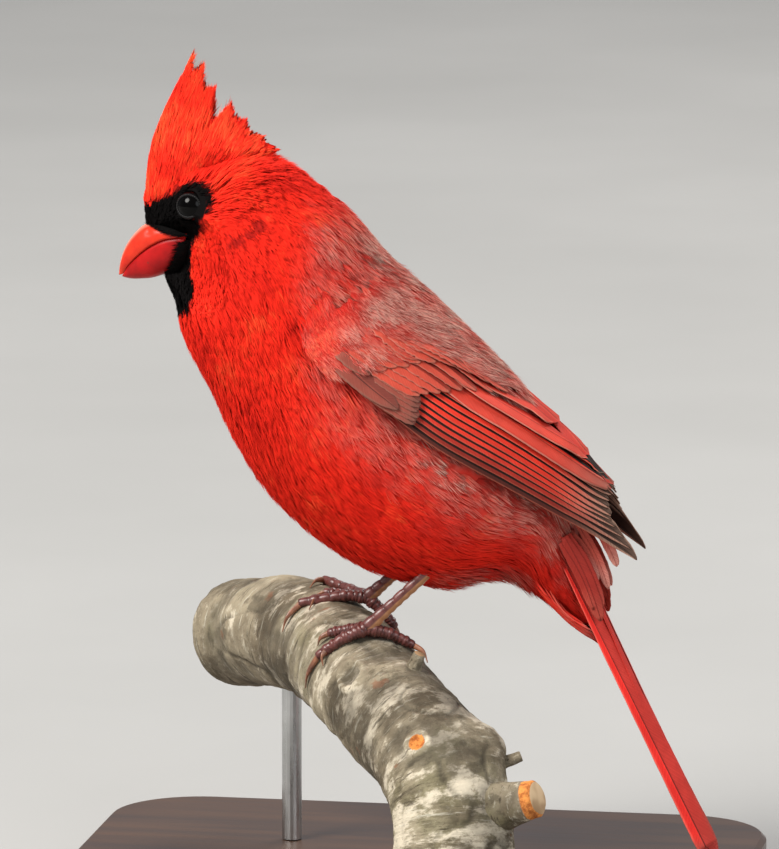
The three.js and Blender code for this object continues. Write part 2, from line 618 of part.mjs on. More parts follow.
// Place in the folded tail: share from root to tip, side across it, and height out of its back.
function tailPoint(share, side, height) {
  const root = flat(TAIL.root);
  const run = flat(TAIL.tip).sub(root);
  const out = new THREE.Vector3(0, 1, 0).cross(run).normalize();
  const point = root.addScaledVector(run, share).addScaledVector(out, height);
  point.y = side;
  return point;
}

// The stack's outline, from the root to a share of the tail's length and grown by a gap.
function tailForm(end, grow) {
  const rings = [];
  const steps = 4;
  for (let i = 0; i <= steps; i += 1) {
    const share = (i / steps) * end;
    const half = mix(TAIL.halfRoot, TAIL.halfTip, share) + grow;
    const deep = mix(TAIL.deepRoot, TAIL.deepTip, share) / 2 + grow;
    const outline = [[-1, 0.1], [-0.6, 0.8], [0, 1], [0.6, 0.8], [1, 0.1], [0.9, -0.9], [0, -0.6], [-0.9, -0.9]];
    rings.push(outline.map(([side, height]) => tailPoint(share, side * half, height * deep)));
  }
  return loftSolid(rings);
}

// One tail feather. The pairs lie one under the other from the middle outwards.
function tailFeather(pair, side) {
  const depth = (2 * pair + (side > 0 ? 1 : 0)) / (2 * TAIL_PAIRS - 1);
  const length = 1 - TAIL_FEATHER.shorter * pair;
  return bladeSolid(TAIL_ROWS.map(([share, broad]) => {
    const place = share * length;
    const half = (TAIL_FEATHER.width / 2) * broad;
    const fullHalf = (TAIL_FEATHER.width / 2) * Math.min(mix(TAIL_ROWS[0][1], 1, place), 1);
    const reach = mix(TAIL.halfRoot, TAIL.halfTip, place) - fullHalf;
    const centre = side * mix(TAIL_FEATHER.middle, 1, pair / (TAIL_PAIRS - 1)) * reach;
    const spread = mix(TAIL.deepRoot, TAIL.deepTip, place) - TAIL_FEATHER.thick - TAIL_FEATHER.arch;
    const height = spread * (0.5 - depth);
    const edges = [-1, 0, 1];
    const rise = (edge) => height + TAIL_FEATHER.arch * (edge === 0 ? 1 : 0);
    return {
      over: edges.map((edge) => tailPoint(place, centre + edge * half, rise(edge))),
      under: edges.map((edge) => tailPoint(place, centre + edge * half, rise(edge) - TAIL_FEATHER.thick)),
    };
  }));
}

function tailNode() {
  const pieces = [tailForm(TAIL_CORE, 0)];
  for (let pair = 0; pair < TAIL_PAIRS; pair += 1) {
    [-1, 1].forEach((side) => pieces.push(tailFeather(pair, side)));
  }
  return largest(joined(pieces).subtract(bodyClear));
}

// One covert over or under the tail's root, from the rump out.
function tailCovert({ root, tip, sides, width, out }, side) {
  const start = flat(root);
  const run = flat(tip).sub(start);
  const normal = new THREE.Vector3(0, 1, 0).cross(run).normalize().multiplyScalar(out);
  return bladeSolid(COVERT_ROWS.map(([share, broad]) => {
    const centre = start.clone().addScaledVector(run, share);
    centre.y = side * mix(sides[0], sides[1], share);
    const thick = TAIL_COVERT.thick * (2 - share);
    const edges = [-1, 0, 1].map((edge) => {
      const point = centre.clone().addScaledVector(normal, -TAIL_COVERT.arch * Math.abs(edge));
      point.y += (edge * width * broad) / 2;
      return point;
    });
    return { over: edges, under: edges.map((point) => point.clone().addScaledVector(normal, -thick)) };
  }));
}

// Everything in front of the rump's cut.
function torsoBlock() {
  const size = 120;
  const box = new THREE.BoxGeometry(size, size, size);
  const down = flat(RUMP_CUT.front).sub(flat(RUMP_CUT.back)).normalize();
  const across = new THREE.Vector3(0, 1, 0);
  const ahead = new THREE.Vector3().crossVectors(down, across);
  if (ahead.x > 0) ahead.negate();
  const middle = flat(RUMP_CUT.back).add(flat(RUMP_CUT.front)).multiplyScalar(0.5);
  middle.addScaledVector(ahead, size / 2 - GAP);
  const side = new THREE.Vector3().crossVectors(across, ahead);
  return solidOf(box.applyMatrix4(new THREE.Matrix4().makeBasis(side, across, ahead).setPosition(middle)));
}

function rumpNode(bare) {
  const coverts = TAIL_COVERTS.flatMap((covert) => {
    const sides = covert.sides[1] === 0 ? [1] : [-1, 1];
    return sides.map((side) => tailCovert(covert, side));
  });
  return largest(bare.add(joined(coverts).subtract(tailForm(1, GAP + 0.1)).subtract(torsoBlock())));
}

// The perch's surface: share along its axis, turn round it in radians from its top, and lift.
const perchAxis = new THREE.CatmullRomCurve3(PERCH_AXIS.map((p) => new THREE.Vector3(...p)), false, 'catmullrom');

function perchPoint(share, turn, lift = 0) {
  const run = perchAxis.getTangent(share);
  const top = UP.clone().addScaledVector(run, -run.z).normalize();
  const side = new THREE.Vector3().crossVectors(top, run);
  const radius = along(PERCH_RADII, share) + lift;
  return perchAxis.getPoint(share)
    .addScaledVector(top, Math.cos(turn) * radius)
    .addScaledVector(side, Math.sin(turn) * radius);
}

function perchSolid(lift = 0) {
  const rings = [];
  for (let i = 0; i <= PERCH_RINGS; i += 1) {
    const ring = [];
    for (let j = 0; j < PERCH_SIDES; j += 1) {
      ring.push(perchPoint(i / PERCH_RINGS, (j / PERCH_SIDES) * 2 * Math.PI, lift));
    }
    rings.push(ring);
  }
  return loftSolid(rings);
}

// Turns and moves a shape made round the Z axis so that it stands out of the perch at a place.
function setOnPerch(geometry, [share, degrees], lift) {
  const turn = THREE.MathUtils.degToRad(degrees);
  const foot = perchPoint(share, turn, 0);
  const outward = foot.clone().sub(perchAxis.getPoint(share)).normalize();
  geometry.applyQuaternion(new THREE.Quaternion().setFromUnitVectors(UP, outward));
  foot.addScaledVector(outward, lift);
  return solidOf(geometry.translate(foot.x, foot.y, foot.z));
}

function perchMarks() {
  const scars = SCARS.map(({ place, radius, raised }) => {
    return setOnPerch(new THREE.TorusGeometry(radius, raised, 5, 10), place, -0.2 * raised);
  });
  const swellings = SWELLINGS.map(({ place, radius, raised }) => {
    return setOnPerch(new THREE.SphereGeometry(radius, 10, 7), place, raised - radius);
  });
  const stub = new THREE.CylinderGeometry(STUB.radius * 0.86, STUB.radius, STUB.length * 2, 10).rotateX(Math.PI / 2);
  return [...scars, ...swellings, setOnPerch(stub, STUB.place, 0)];
}

const perch = joined([perchSolid(), ...perchMarks()]);
const perchClear = perchSolid(GAP);

// A tube through points, with rings at shares of its length, whose radius is given as a function
// of that share. Raised, if given, adds to the radius on the tube's upper side.
function tubeSolid(points, radius, shares, sides, raised = () => 0) {
  const line = new THREE.CatmullRomCurve3(points, false, 'catmullrom');
  const sections = shares.map((share, i) => {
    const run = line.getTangent(share);
    const top = UP.clone().addScaledVector(run, -run.z).normalize();
    const side = new THREE.Vector3().crossVectors(run, top);
    const section = [];
    for (let j = 0; j < sides; j += 1) {
      const turn = (j / sides) * 2 * Math.PI;
      const reach = radius(share) + raised(i) * Math.max(Math.cos(turn) + 0.3, 0);
      section.push(line.getPoint(share)
        .addScaledVector(top, Math.cos(turn) * reach)
        .addScaledVector(side, Math.sin(turn) * reach));
    }
    return section;
  });
  return loftSolid(sections);
}

const evenShares = (count) => Array.from({ length: count + 1 }, (_, i) => i / count);

// Shares of two rings for each scute, the first of them at its raised upper edge.
const scuteShares = (count) => Array.from({ length: 2 * count }, (_, i) => {
  const scute = Math.floor(i / 2);
  return (scute + (i % 2 === 0 ? 0 : 0.9)) / (count - 0.1);
});
const scuteRaised = (i) => (i % 2 === 0 ? 0 : SCUTE_RAISED);

const onPerch = ([share, degrees], lift) => perchPoint(share, THREE.MathUtils.degToRad(degrees), lift);

function footParts(leg) {
  const joint = onPerch(leg.joint, TOE_RADII[0] + 1.1);
  const ankle = new THREE.Vector3(...leg.ankle);
  const radii = [TARSUS.top, TARSUS.middle, TARSUS.middle, TARSUS.foot];
  const shank = [ankle, ankle.clone().lerp(joint, 0.5), joint];
  let limb = tubeSolid(shank, (share) => along(radii, share), scuteShares(TARSUS.scutes), 7, scuteRaised);
  const claws = [];
  const clear = [];
  leg.toes.forEach(([middle, knuckle, tip]) => {
    const end = onPerch(knuckle, TOE_RADII[2] + 0.25);
    const points = [joint, onPerch(middle, TOE_RADII[1] + 0.3), end];
    const toe = tubeSolid(points, (share) => along(TOE_RADII, share), scuteShares(TOE_SCUTES), 6, scuteRaised);
    limb = limb.add(toe);
    const start = points[2].clone().lerp(points[1], 0.02);
    const halfway = onPerch(knuckle, 1.6).lerp(onPerch(tip, 1.6), 0.5);
    const point = onPerch(tip, 0.5);
    const clawRadius = (share) => mix(CLAW_BASE, 0.22, share);
    claws.push(tubeSolid([start, halfway, point], clawRadius, evenShares(6), 6));
    clear.push(tubeSolid([start, halfway, point], (share) => clawRadius(share) + GAP, evenShares(6), 6));
  });
  limb = limb.subtract(perchClear).subtract(bodyClear);
  const ends = claws.map((claw) => largest(claw.subtract(perchClear)));
  clear.forEach((claw) => {
    limb = limb.subtract(claw);
  });
  return { limb: largest(limb), claws: ends };
}

function standBase() {
  const halfLength = BASE.length / 2 - BASE.bevel;
  const halfWidth = BASE.width / 2 - BASE.bevel;
  const outline = new THREE.Shape();
  const corners = [[1, -1, -90], [1, 1, 0], [-1, 1, 90], [-1, -1, 180]];
  corners.forEach(([x, y, degrees]) => {
    const start = THREE.MathUtils.degToRad(degrees);
    outline.absarc(x * (halfLength - BASE.corner), y * (halfWidth - BASE.corner), BASE.corner,
      start, start + Math.PI / 2, false);
  });
  const options = { depth: BASE.height - 2 * BASE.bevel, bevelSize: BASE.bevel, bevelThickness: BASE.bevel,
    bevelSegments: 1, curveSegments: 6 };
  return solidOf(new THREE.ExtrudeGeometry(outline, options).translate(0, 0, BASE.bevel));
}

function standRod(share) {
  const top = perchAxis.getPoint(share);
  const foot = BASE.height + GAP;
  const rod = new THREE.CylinderGeometry(ROD.radius, ROD.radius, top.z - foot, ROD.sides);
  rod.rotateX(Math.PI / 2).translate(top.x, top.y, (top.z + foot) / 2);
  return largest(solidOf(rod).subtract(perchClear));
}

const COLOURS = {
  red: { color: 0xd21f16, roughness: 0.85 },
  black: { color: 0x141012, roughness: 0.85 },
  wing: { color: 0x9c3128, roughness: 0.8 },
  tail: { color: 0xb02421, roughness: 0.7 },
  bill: { color: 0xd8442a, roughness: 0.45 },
  eye: { color: 0x120c0a, roughness: 0.1 },
  leg: { color: 0x5c2c2a, roughness: 0.5 },
  claw: { color: 0x8a5136, roughness: 0.4 },
  bark: { color: 0x8b8468, roughness: 0.9 },
  base: { color: 0x3a2a20, roughness: 0.5 },
  rod: { color: 0xa7a9ab, roughness: 0.35, metalness: 1 },
};

const model = new THREE.Group();

function addNode(name, solid, colour) {
  const mesh = new THREE.Mesh(geometryOf(solid), new THREE.MeshStandardMaterial(COLOURS[colour]));
  mesh.name = name;
  model.add(mesh);
}

const [wholeHead, neck, torso, rump] = partBody();
const { face, head } = partHead(wholeHead);
addNode('head', head, 'red');
addNode('face', face, 'black');
addNode('neck', neck, 'red');
addNode('torso', torso, 'red');
addNode('rump', rumpNode(rump), 'red');
addNode('crest', crestNode(), 'red');
addNode('bill_upper', billUpper(), 'bill');
addNode('bill_lower', billLower(), 'bill');
addNode('eye_left', sphere(eyeCentre(-1), EYE.radius), 'eye');
addNode('eye_right', sphere(eyeCentre(1), EYE.radius), 'eye');

const wing = wingNode();
addNode('wing_left', wing, 'wing');
addNode('wing_right', mirrored(wing), 'wing');
addNode('tail', tailNode(), 'tail');

Object.entries(LEGS).forEach(([side, leg]) => {
  const { limb, claws } = footParts(leg);
  addNode(`leg_${side}`, limb, 'leg');
  claws.forEach((claw, i) => addNode(`claw_${side}_${i + 1}`, claw, 'claw'));
});

addNode('perch', perch, 'bark');
addNode('stand_base', standBase(), 'base');
Object.entries(ROD_PLACES).forEach(([name, share]) => addNode(name, standRod(share), 'rod'));

export default model;
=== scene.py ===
"""Adult male northern cardinal: a still life-size model that grips a cut branch on a plain stand."""
import math

import bpy
import numpy as np
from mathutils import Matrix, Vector


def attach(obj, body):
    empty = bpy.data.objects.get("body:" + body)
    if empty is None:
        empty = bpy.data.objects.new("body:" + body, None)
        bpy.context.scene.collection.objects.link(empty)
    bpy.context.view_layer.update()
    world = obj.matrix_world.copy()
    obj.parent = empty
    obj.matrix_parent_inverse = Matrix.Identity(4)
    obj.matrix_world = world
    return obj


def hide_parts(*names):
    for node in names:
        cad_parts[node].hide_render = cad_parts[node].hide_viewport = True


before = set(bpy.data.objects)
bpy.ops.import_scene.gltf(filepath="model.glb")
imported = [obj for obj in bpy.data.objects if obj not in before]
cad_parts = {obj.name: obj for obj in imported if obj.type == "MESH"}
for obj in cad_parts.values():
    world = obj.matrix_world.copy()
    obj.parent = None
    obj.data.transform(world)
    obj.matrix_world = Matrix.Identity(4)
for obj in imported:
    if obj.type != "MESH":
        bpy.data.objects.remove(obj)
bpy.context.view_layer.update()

MM = 0.001
FULL = 1.0

# Camera: where it stands, in degrees, metres from what it looks at, and the height that it sees.
CAMERA = {"azimuth": 10, "elevation": 10, "distance": 2.0, "target": (-0.0026, 0, 0.1234), "height": 0.20707}
SENSOR = 36
# Lights: place and diameter in metres, power in watts, colour. All of them face the bird.
LIGHTS = {
    "key": ((-1.5, -1.5, 1.9), 1.3, 120, (1.0, 0.97, 0.93)),
    "fill": ((1.7, -1.5, 1.0), 1.6, 20, (0.93, 0.96, 1.0)),
    "rear": ((0.7, 1.3, 2.2), 1.3, 52, (1.0, 0.96, 0.92)),
}
LIT = (0, 0, 0.12)
SKY, SKY_STRENGTH = (0.9, 0.93, 1.0, 1), 0.3
FLOOR_HALF = 9

# Body outline in millimetres: [x, z] on the back and on the front, half its width, and how far
# down it is widest, as a share of its height. From the bill to the tail's root.
BODY = np.array([
    [-63.5, 173.6, -58.0, 158.8, 3.0, 0.5], [-62.0, 180.6, -56.6, 155.4, 5.4, 0.5],
    [-53.9, 187.3, -55.2, 151.8, 9.2, 0.42], [-41.5, 190.0, -54.8, 148.6, 14.2, 0.46],
    [-30.1, 187.9, -54.6, 146.0, 17.0, 0.5], [-21.0, 183.2, -53.6, 143.0, 19.3, 0.52],
    [-12.3, 175.5, -51.3, 138.6, 21.3, 0.52], [-3.0, 164.0, -46.9, 131.0, 22.8, 0.53],
    [7.4, 154.9, -40.8, 118.1, 23.8, 0.54], [18.0, 145.0, -32.1, 105.2, 24.0, 0.55],
    [27.4, 135.8, -19.4, 93.9, 23.0, 0.56], [34.0, 126.8, -5.5, 86.4, 21.0, 0.56],
    [38.8, 116.4, 9.9, 83.9, 16.6, 0.56], [42.2, 105.2, 25.5, 87.0, 10.4, 0.5],
    [44.6, 95.5, 35.5, 80.6, 7.0, 0.56], [47.4, 86.0, 43.4, 75.6, 4.4, 0.6],
])
# Rear edge of the black face, as [x, z], closed in front of the bill.
FACE_EDGE = np.array([
    [-90, 174.6], [-63.6, 175.4], [-60.0, 177.0], [-57.1, 178.2], [-53.9, 180.8], [-50.1, 182.4],
    [-46.6, 182.2], [-44.9, 179.8], [-45.2, 176.6], [-47.4, 173.2], [-49.4, 169.8], [-50.5, 167.6],
    [-51.4, 164.9], [-51.1, 162.3], [-49.9, 159.1], [-49.4, 156.3], [-51.0, 152.7], [-54.2, 150.2],
    [-60, 148.6], [-90, 148.6],
])
# Crease across the cheek, as a thin closed outline that painted shadow fills.
CREASE_SHADOW = np.array([[-39.6, 170.2], [-36.6, 172.1], [-33.1, 174.8], [-36.6, 171.95]])
EYE = {"x": -49.6, "z": 177.3, "y": 8.0, "radius": 4.0, "opening": 2.9}
# Bill slices: culmen, edge of the mouth and gonys as [x, z], and half the width.
BILL = np.array([
    [-59.6, 172.0, -51.8, 169.4, -54.6, 160.9, 7.0], [-62.9, 171.4, -57.0, 168.5, -58.3, 159.1, 6.3],
    [-65.4, 169.3, -60.6, 166.8, -61.4, 158.1, 5.4], [-67.4, 166.7, -63.2, 164.9, -64.0, 157.8, 4.4],
    [-68.7, 164.0, -65.4, 162.9, -66.2, 157.7, 3.3], [-69.5, 161.1, -67.3, 160.9, -67.9, 157.9, 2.1],
    [-69.8, 158.6, -68.6, 158.9, -68.9, 158.2, 0.9],
])
# Halves of the bill: the column of BILL with its ridge, how far it stays off the mouth's edge, its
# width and fullness, and the rise and width of its hollow inside.
BILL_HALVES = {"upper": (0, 0.0, 1.0, 0.85, 0.07, 0.96), "lower": (4, 0.25, 0.93, 0.8, -0.16, 0.86)}
BILL_MIDDLE = np.array([-56.5, 0, 167.5])
NOSTRIL = np.array([-61.4, 170.0])
BILL_OUTLINE = np.array([
    [-90, 172.2], BILL[0, 0:2] + [0.2, 0.2], BILL[0, 2:4] + [0.3, 0.2], BILL[0, 4:6] + [0.3, -0.2],
    BILL[1, 4:6] + [0, -0.3], [-90, 156.0],
])
# Crest, from front to rear: roots and tips as [x, z], and half its width. It is drawn into locks.
CREST_ROOTS = np.array([[-62.2, 179.2], [-58.4, 184.8], [-52, 187.8], [-46, 189], [-40, 189], [-34, 187.6]])
CREST_TIPS = np.array([
    [-54.6, 206.0], [-51.1, 213.2], [-48.6, 210.6], [-45.4, 205.4], [-41.6, 202.4], [-37.8, 197.4],
    [-33.4, 193.6], [-28.3, 190.6],
])
CREST_HALF = np.array([4.6, 6.3, 7.2, 7.4, 6.8, 5.4])
CREST_LOCKS = 7
# Layers of plumes: how much they gather into locks and how thin the layer is, where its lowest
# plumes grow and how dense they are.
CREST_LAYERS = [(0.92, 1.0, -0.42, 0.88), (0.8, 0.5, 0.3, 0.55), (0.7, 0.12, 0.4, 0.55)]
# Folded wing: lower edge and outline over the back as [x, z], how far it stands out from the
# middle of the bird, and how much the blade bows in.
WING = np.array([
    [-21.0, 151.5, -7.0, 170.4, 24.4, 1], [-16.6, 144.6, -1.8, 164.4, 25.6, 1],
    [-5.6, 135.2, 8.7, 154.4, 26.2, 1], [4.6, 128.6, 17.4, 145.8, 26.2, 1],
    [14.2, 122.0, 25.8, 137.8, 24.8, 1], [28.3, 113.3, 38.0, 126.6, 19.8, 1],
    [42.2, 104.4, 49.4, 114.0, 13.6, 1], [47.8, 101.0, 53.4, 108.4, 11.4, 0.85],
    [53.4, 97.2, 56.8, 101.7, 9.6, 0.5], [59.4, 92.7, 60.4, 94.1, 8.4, 0.2],
])
# Where lengths along the wing start, and which way they run, as [x, z].
WING_START = np.array([-16, 144.0])
WING_RUN = np.array([0.804, -0.595])
WING_OUTLINE = np.concatenate([WING[0:9, 0:2], WING[8:0:-1, 2:4]])
# Distance from the wing of places that it never covers.
NO_WING = 99.0
# Tiers of the wing from the lowest to the topmost: group, number of feathers, places of the roots
# and of the tips (along the wing and up from its lower edge), width, level over the wing, how
# the feathers rise between their ends, and what else sets them apart.
TIERS = [
    # The lowest flight feathers get painted shade, strongest on the lowest one.
    ("flight", 5, [(14, 0.8), (15, 6.6)], [(91.6, 1.0), (88.6, 2.3), (85.4, 3.4), (82.6, 4.4), (80.4, 5.2)],
     4.4, -0.8, (0.0, 1.0),
     {"outer": 0.3, "rag": 0.03, "tip_from": 0.84, "sharp": 0.9, "bar": -0.16, "dim": 0.95}),
    ("flight", 4, [(14, 7.8), (16, 12.0)], [(79.4, 6.0), (78.2, 7.2), (77.0, 8.4), (76.0, 9.4)],
     4.4, -0.55, (1.2, 1.6), {"outer": 0.3, "rag": 0.03, "bar": -0.36}),
    ("flight", 3, [(20, 12.8), (24, 14.4)], [(78.8, 9.6), (79.0, 10.4), (78.6, 11.0)],
     3.4, -0.35, (1.6, 1.8), {"outer": 0.26, "rag": 0.03, "bar": -0.36}),
    ("tertial", 3, [(20, 14.6), (22, 19.0)], [(76.6, 10.4), (77.6, 12.2), (65.6, 14.6)],
     9.0, -0.15, (0.8, 1.2), {"outer": 0.46, "tip_from": 0.8, "rag": 0.02}),
    ("dusky", 6, [(6, 1.8), (7, 6.6)], [(28.6, 1.8), (27.8, 4.2), (26.4, 6.8)],
     3.2, -0.05, (0.0, 0.3), {"outer": 0.4, "tip_from": 0.78}),
    ("covert", 8, [(6, 7.2), (15, 19.6)], [(25.2, 8.0), (31.8, 13.0), (41.0, 18.2)],
     4.8, 0.1, (0.2, 0.4), {"outer": 0.42, "tip_from": 0.62}),
    ("covert", 7, [(1, 8.0), (11, 20.4)], [(15.2, 8.8), (20.6, 14.0), (27.4, 20.2)],
     5.6, 0.45, (0.2, 0.2), {"outer": 0.48, "tip_from": 0.5}),
    ("covert", 6, [(3, 15.5), (16, 19.6)], [(19.6, 14.2), (29.6, 17.2), (41.6, 17.8)],
     6.6, 0.7, (0.2, 0.4), {"outer": 0.48, "tip_from": 0.4, "narrow": 0.5}),
    ("dusky", 2, [(-1, 5.6), (-3, 2.8)], [(13.0, 5.6), (23.6, 2.5)],
     6.2, 0.6, (0.3, 0.6),
     {"outer": 0.42, "tip_from": 0.5, "narrow": 0.2, "dip": 2.4, "sharp": 0.35, "rag": 0.04}),
]
# Tail: root and tip as [x, z], half its width and its depth at each, pairs of feathers, and how
# far it rolls to one side.
TAIL = {"root": (45.3, 86.4), "tip": (79.2, 17.2), "half": (6.0, 7.8), "deep": (3.8, 1.5), "pairs": 6,
        "roll": 0.10}
# Soft coverts under and over the tail's root: root and tip as [x, z], spread to the sides, number
# of tufts, which way they face, how far they curve round the tail, how they arch, how dusty.
TAIL_TUFTS = [
    ((28, 91), (49.4, 70.8), 6.2, 110, -1.0, 3.0, 1.5, 0.9),
    ((38, 104), (48.0, 89.0), 5.4, 44, 1.0, 1.6, 0.6, 0.0),
]
# Longest coverts: root and tip as [x, z], distance from the middle and width. Pale blunt ones stand over the
# tail's root, and beside it darker ones whose dark red is painted shade.
LONG_COVERTS = {
    "rump": [((44.0, 101), (52.0, 84.8), 2.4, 2.3), ((42.6, 99), (49.4, 86.6), 3.4, 2.3),
             ((46.0, 103), (53.8, 90.2), 1.0, 2.3)],
    "shaded_tail_side": [((41.6, 98.2), (50.7, 77.6), 6.3, 3.6), ((40.8, 96.8), (49.0, 80.4), 6.6, 2.8),
                  ((42.4, 98.6), (51.0, 80.6), 5.6, 2.8)],
}
PERCH_AXIS = np.array([
    [-49.7, 50, 60.2], [-29.8, 26, 65.1], [-13.7, 3, 62.8], [1.9, -18, 54.9], [18.0, -39, 43.0],
    [22.6, -50, 19.4],
])
PERCH_RADII = np.array([13.4, 13.9, 14.0, 14.1, 14.4, 14.6])
PERCH_LENGTH = 143.0
# Feet: the ankle, and the joint and toes as places on the perch (share of its length, degrees).
LEGS = {
    "left": {"ankle": (15.5, -10.0, 95.5), "joint": (0.495, -11), "toes": [
        [(0.484, -30), (0.465, -61), (0.450, -98)], [(0.487, -28), (0.472, -50), (0.488, -64)],
        [(0.472, -22), (0.446, -38), (0.441, -54)], [(0.510, 8), (0.530, 30), (0.566, 40)]]},
    "right": {"ankle": (9.0, 9.5, 95.0), "joint": (0.37, 22), "toes": [
        [(0.355, 4), (0.318, -34), (0.325, -66)], [(0.350, 10), (0.322, -8), (0.346, -32)],
        [(0.310, 22), (0.246, 12), (0.272, -10)], [(0.385, 38), (0.392, 58), (0.386, 82)]]},
}
# Scars of lost twigs: place, radius, height of the rim, and whether bare wood shows.
SCARS = [((0.558, -50), 3.7, 1.1, False), ((0.77, -40), 2.7, 0.9, True)]
# Swellings: place, radius and height.
SWELLINGS = [((0.774, 50), 9.0, 2.6), ((0.5, -52), 8.0, 0.7), ((0.30, -20), 9.0, 0.6), ((0.9, -30), 9.0, 0.9)]
# The cut side twig and two dead buds: place, radius, length, and how much bare wood shows.
TWIGS = [((0.868, 49), 5.2, 9.0, 1.0), ((0.60, 12), 1.7, 3.4, 0.0), ((0.80, 62), 1.5, 5.0, 0.0)]
# Relief of the bark, from coarse to fine: height and scale.
RELIEF = [(1.1, 11), (0.45, 3.6), (0.22, 1.3)]
# Radii of the shank, a toe and a claw from root to tip, and the plates along a shank or a toe.
SHANK, TOE, CLAW = [2.2, 1.5, 1.4, 1.45, 1.85], [1.6, 1.4, 1.25, 1.15, 1.0], [0.85, 0.66, 0.42, 0.14]
PLATES = 9

# Curves, as places and their values. Along the body: length and lift of its tufts, width of a barb.
COAT_LENGTH = ([0, 0.06, 0.12, 0.2, 0.3, 0.45, 0.7, 0.88, 1], [1.1, 1.5, 2.2, 3.1, 4.4, 5.6, 6.6, 6.4, 5.6])
COAT_LIFT = ([0, 0.15, 0.4, 1], [0.35, 0.6, 1.0, 1.1])
COAT_WIDE = ([0, 0.1, 0.3, 0.6], [0.13, 0.18, 0.25, 0.30])
# Up the crest: lift of its plumes. By a plume's length: its width.
CREST_LIFT = ([-0.4, 0.3, 0.9], [0.6, 0.7, 0.15])
PLUME_WIDTH = ([1, 4, 9], [0.4, 0.9, 1.8])
# Along the wing: lower and upper edge and depth of its core, upper edge and length of its small coverts.
CORE_LOWEST = ([-8, 8, 80], [3.0, 0.6, 0.8])
CORE_TOP = ([-8, 0, 14, 26, 37, 54, 70, 77], [9, 12.5, 19, 19.5, 19.3, 15.8, 11.2, 8.4])
CORE_DEEP = ([-8, 0, 40, 70, 80], [3.0, 4.0, 4.0, 1.4, 0.8])
COVERT_EDGE = ([-0.1, 0.05, 0.15, 0.26, 0.37], [0.9, 1.25, 1.62, 1.74, 1.78])
COVERT_LENGTH = ([-0.08, 0.05, 0.2, 0.36], [3.8, 4.8, 6.6, 7.4])

# Fineness: rows and columns of closed forms, rows of a feather, and barbs of a tuft.
GRIDS = {"skin": (230, 160), "perch": (260, 150), "twig": (40, 48), "bill": (60, 41), "eye": (36, 48),
         "lid": (120, 12), "shank": (150, 28), "toe": (130, 24), "claw": (30, 14), "core": (60, 16)}
FEATHER_ROWS = {"wing": 34, "tail": 44, "covert": 20}
BARBS = {"coat": 12, "mantle": 12, "crest": 10, "wing": 10, "tail": 30}
SEEDS = {"coat": 7, "crest": 21, "left": 31, "right": 32, "tail": 41, "tail_coverts": 51, "mantle": 61,
         "bristles": 71, "long_coverts": 81}

# Vanes: colours of the outer web, inner web, worn tip, edge and shaft, then where the tip starts
# to be worn, the inner web starts, the edge starts, and how much the inner web narrows.
VANES = {
    "flight": ((0.78, 0.040, 0.020), (0.022, 0.012, 0.009), (0.45, 0.27, 0.19), (0.66, 0.16, 0.10),
               (0.02, 0.01, 0.009), 0.62, 0.34, 0.72, 0.32),
    "covert": ((0.60, 0.078, 0.046), (0.34, 0.040, 0.026), (0.48, 0.15, 0.10), (0.58, 0.23, 0.17),
               (0.28, 0.04, 0.028), 0.8, -0.05, 0.84, 0.0),
    "tertial": ((0.70, 0.060, 0.034), (0.60, 0.040, 0.024), (0.28, 0.11, 0.075), (0.74, 0.34, 0.25),
                (0.34, 0.03, 0.02), 0.55, -0.3, 0.84, 0.0),
    "dusky": ((0.32, 0.075, 0.052), (0.22, 0.05, 0.036), (0.20, 0.085, 0.062), (0.38, 0.18, 0.13),
              (0.08, 0.025, 0.02), 0.7, -0.2, 0.72, 0.0),
    "tail": ((0.90, 0.034, 0.024), (0.66, 0.050, 0.036), (0.46, 0.07, 0.05), (0.88, 0.15, 0.11),
             (0.05, 0.010, 0.008), 0.9, 0.0, 0.72, 0.0),
    "rump": ((0.60, 0.095, 0.065), (0.50, 0.08, 0.06), (0.76, 0.33, 0.26), (0.62, 0.20, 0.15),
             (0.38, 0.06, 0.045), 0.45, -0.05, 0.8, 0.0),
    # Painted shade: the coverts beside the tail's root are a dark red.
    "shaded_tail_side": ((0.36, 0.030, 0.020), (0.30, 0.024, 0.016), (0.46, 0.075, 0.05), (0.42, 0.05, 0.035),
                  (0.22, 0.02, 0.015), 0.6, -0.05, 0.8, 0.0),
}
# Plain surfaces: dark and light tone, scale of the grain, roughness, and what sets them apart.
PLAIN = {
    "floor_paper": ((0.34, 0.34, 0.33), (0.39, 0.39, 0.38), 3, 0.85, {"bump": 0.0}),
    "wing_underlay": ((0.16, 0.02, 0.015), (0.34, 0.05, 0.035), 300, 0.8, {}),
    "eye_ball": ((0.0005, 0.0004, 0.0004), (0.0012, 0.0008, 0.0006), 300, 0.1,
                 {"bump": 0.0, "Specular_IOR_Level": 0.11}),
    "eyelid": ((0.0015, 0.0013, 0.0013), (0.005, 0.0045, 0.0045), 900, 0.5, {"Specular_IOR_Level": 0.2}),
    "claw_horn": ((0.09, 0.035, 0.022), (0.30, 0.12, 0.06), 500, 0.34, {}),
    "base_wood": ((0.028, 0.014, 0.008), (0.085, 0.042, 0.022), 60, 0.36,
                  {"bump": 0.00015, "stretch": (0.16, 2.2, 2.2), "Coat_Weight": 0.25, "Coat_Roughness": 0.2}),
    "rod_metal": ((0.42, 0.42, 0.41), (0.60, 0.60, 0.59), 900, 0.3,
                  {"bump": 0.00005, "stretch": (1, 1, 0.05), "Metallic": 1.0}),
}


# Camera, lights and floor.
def add_object(name, data):
    made = bpy.data.objects.new(name, data)
    bpy.context.collection.objects.link(made)
    return made


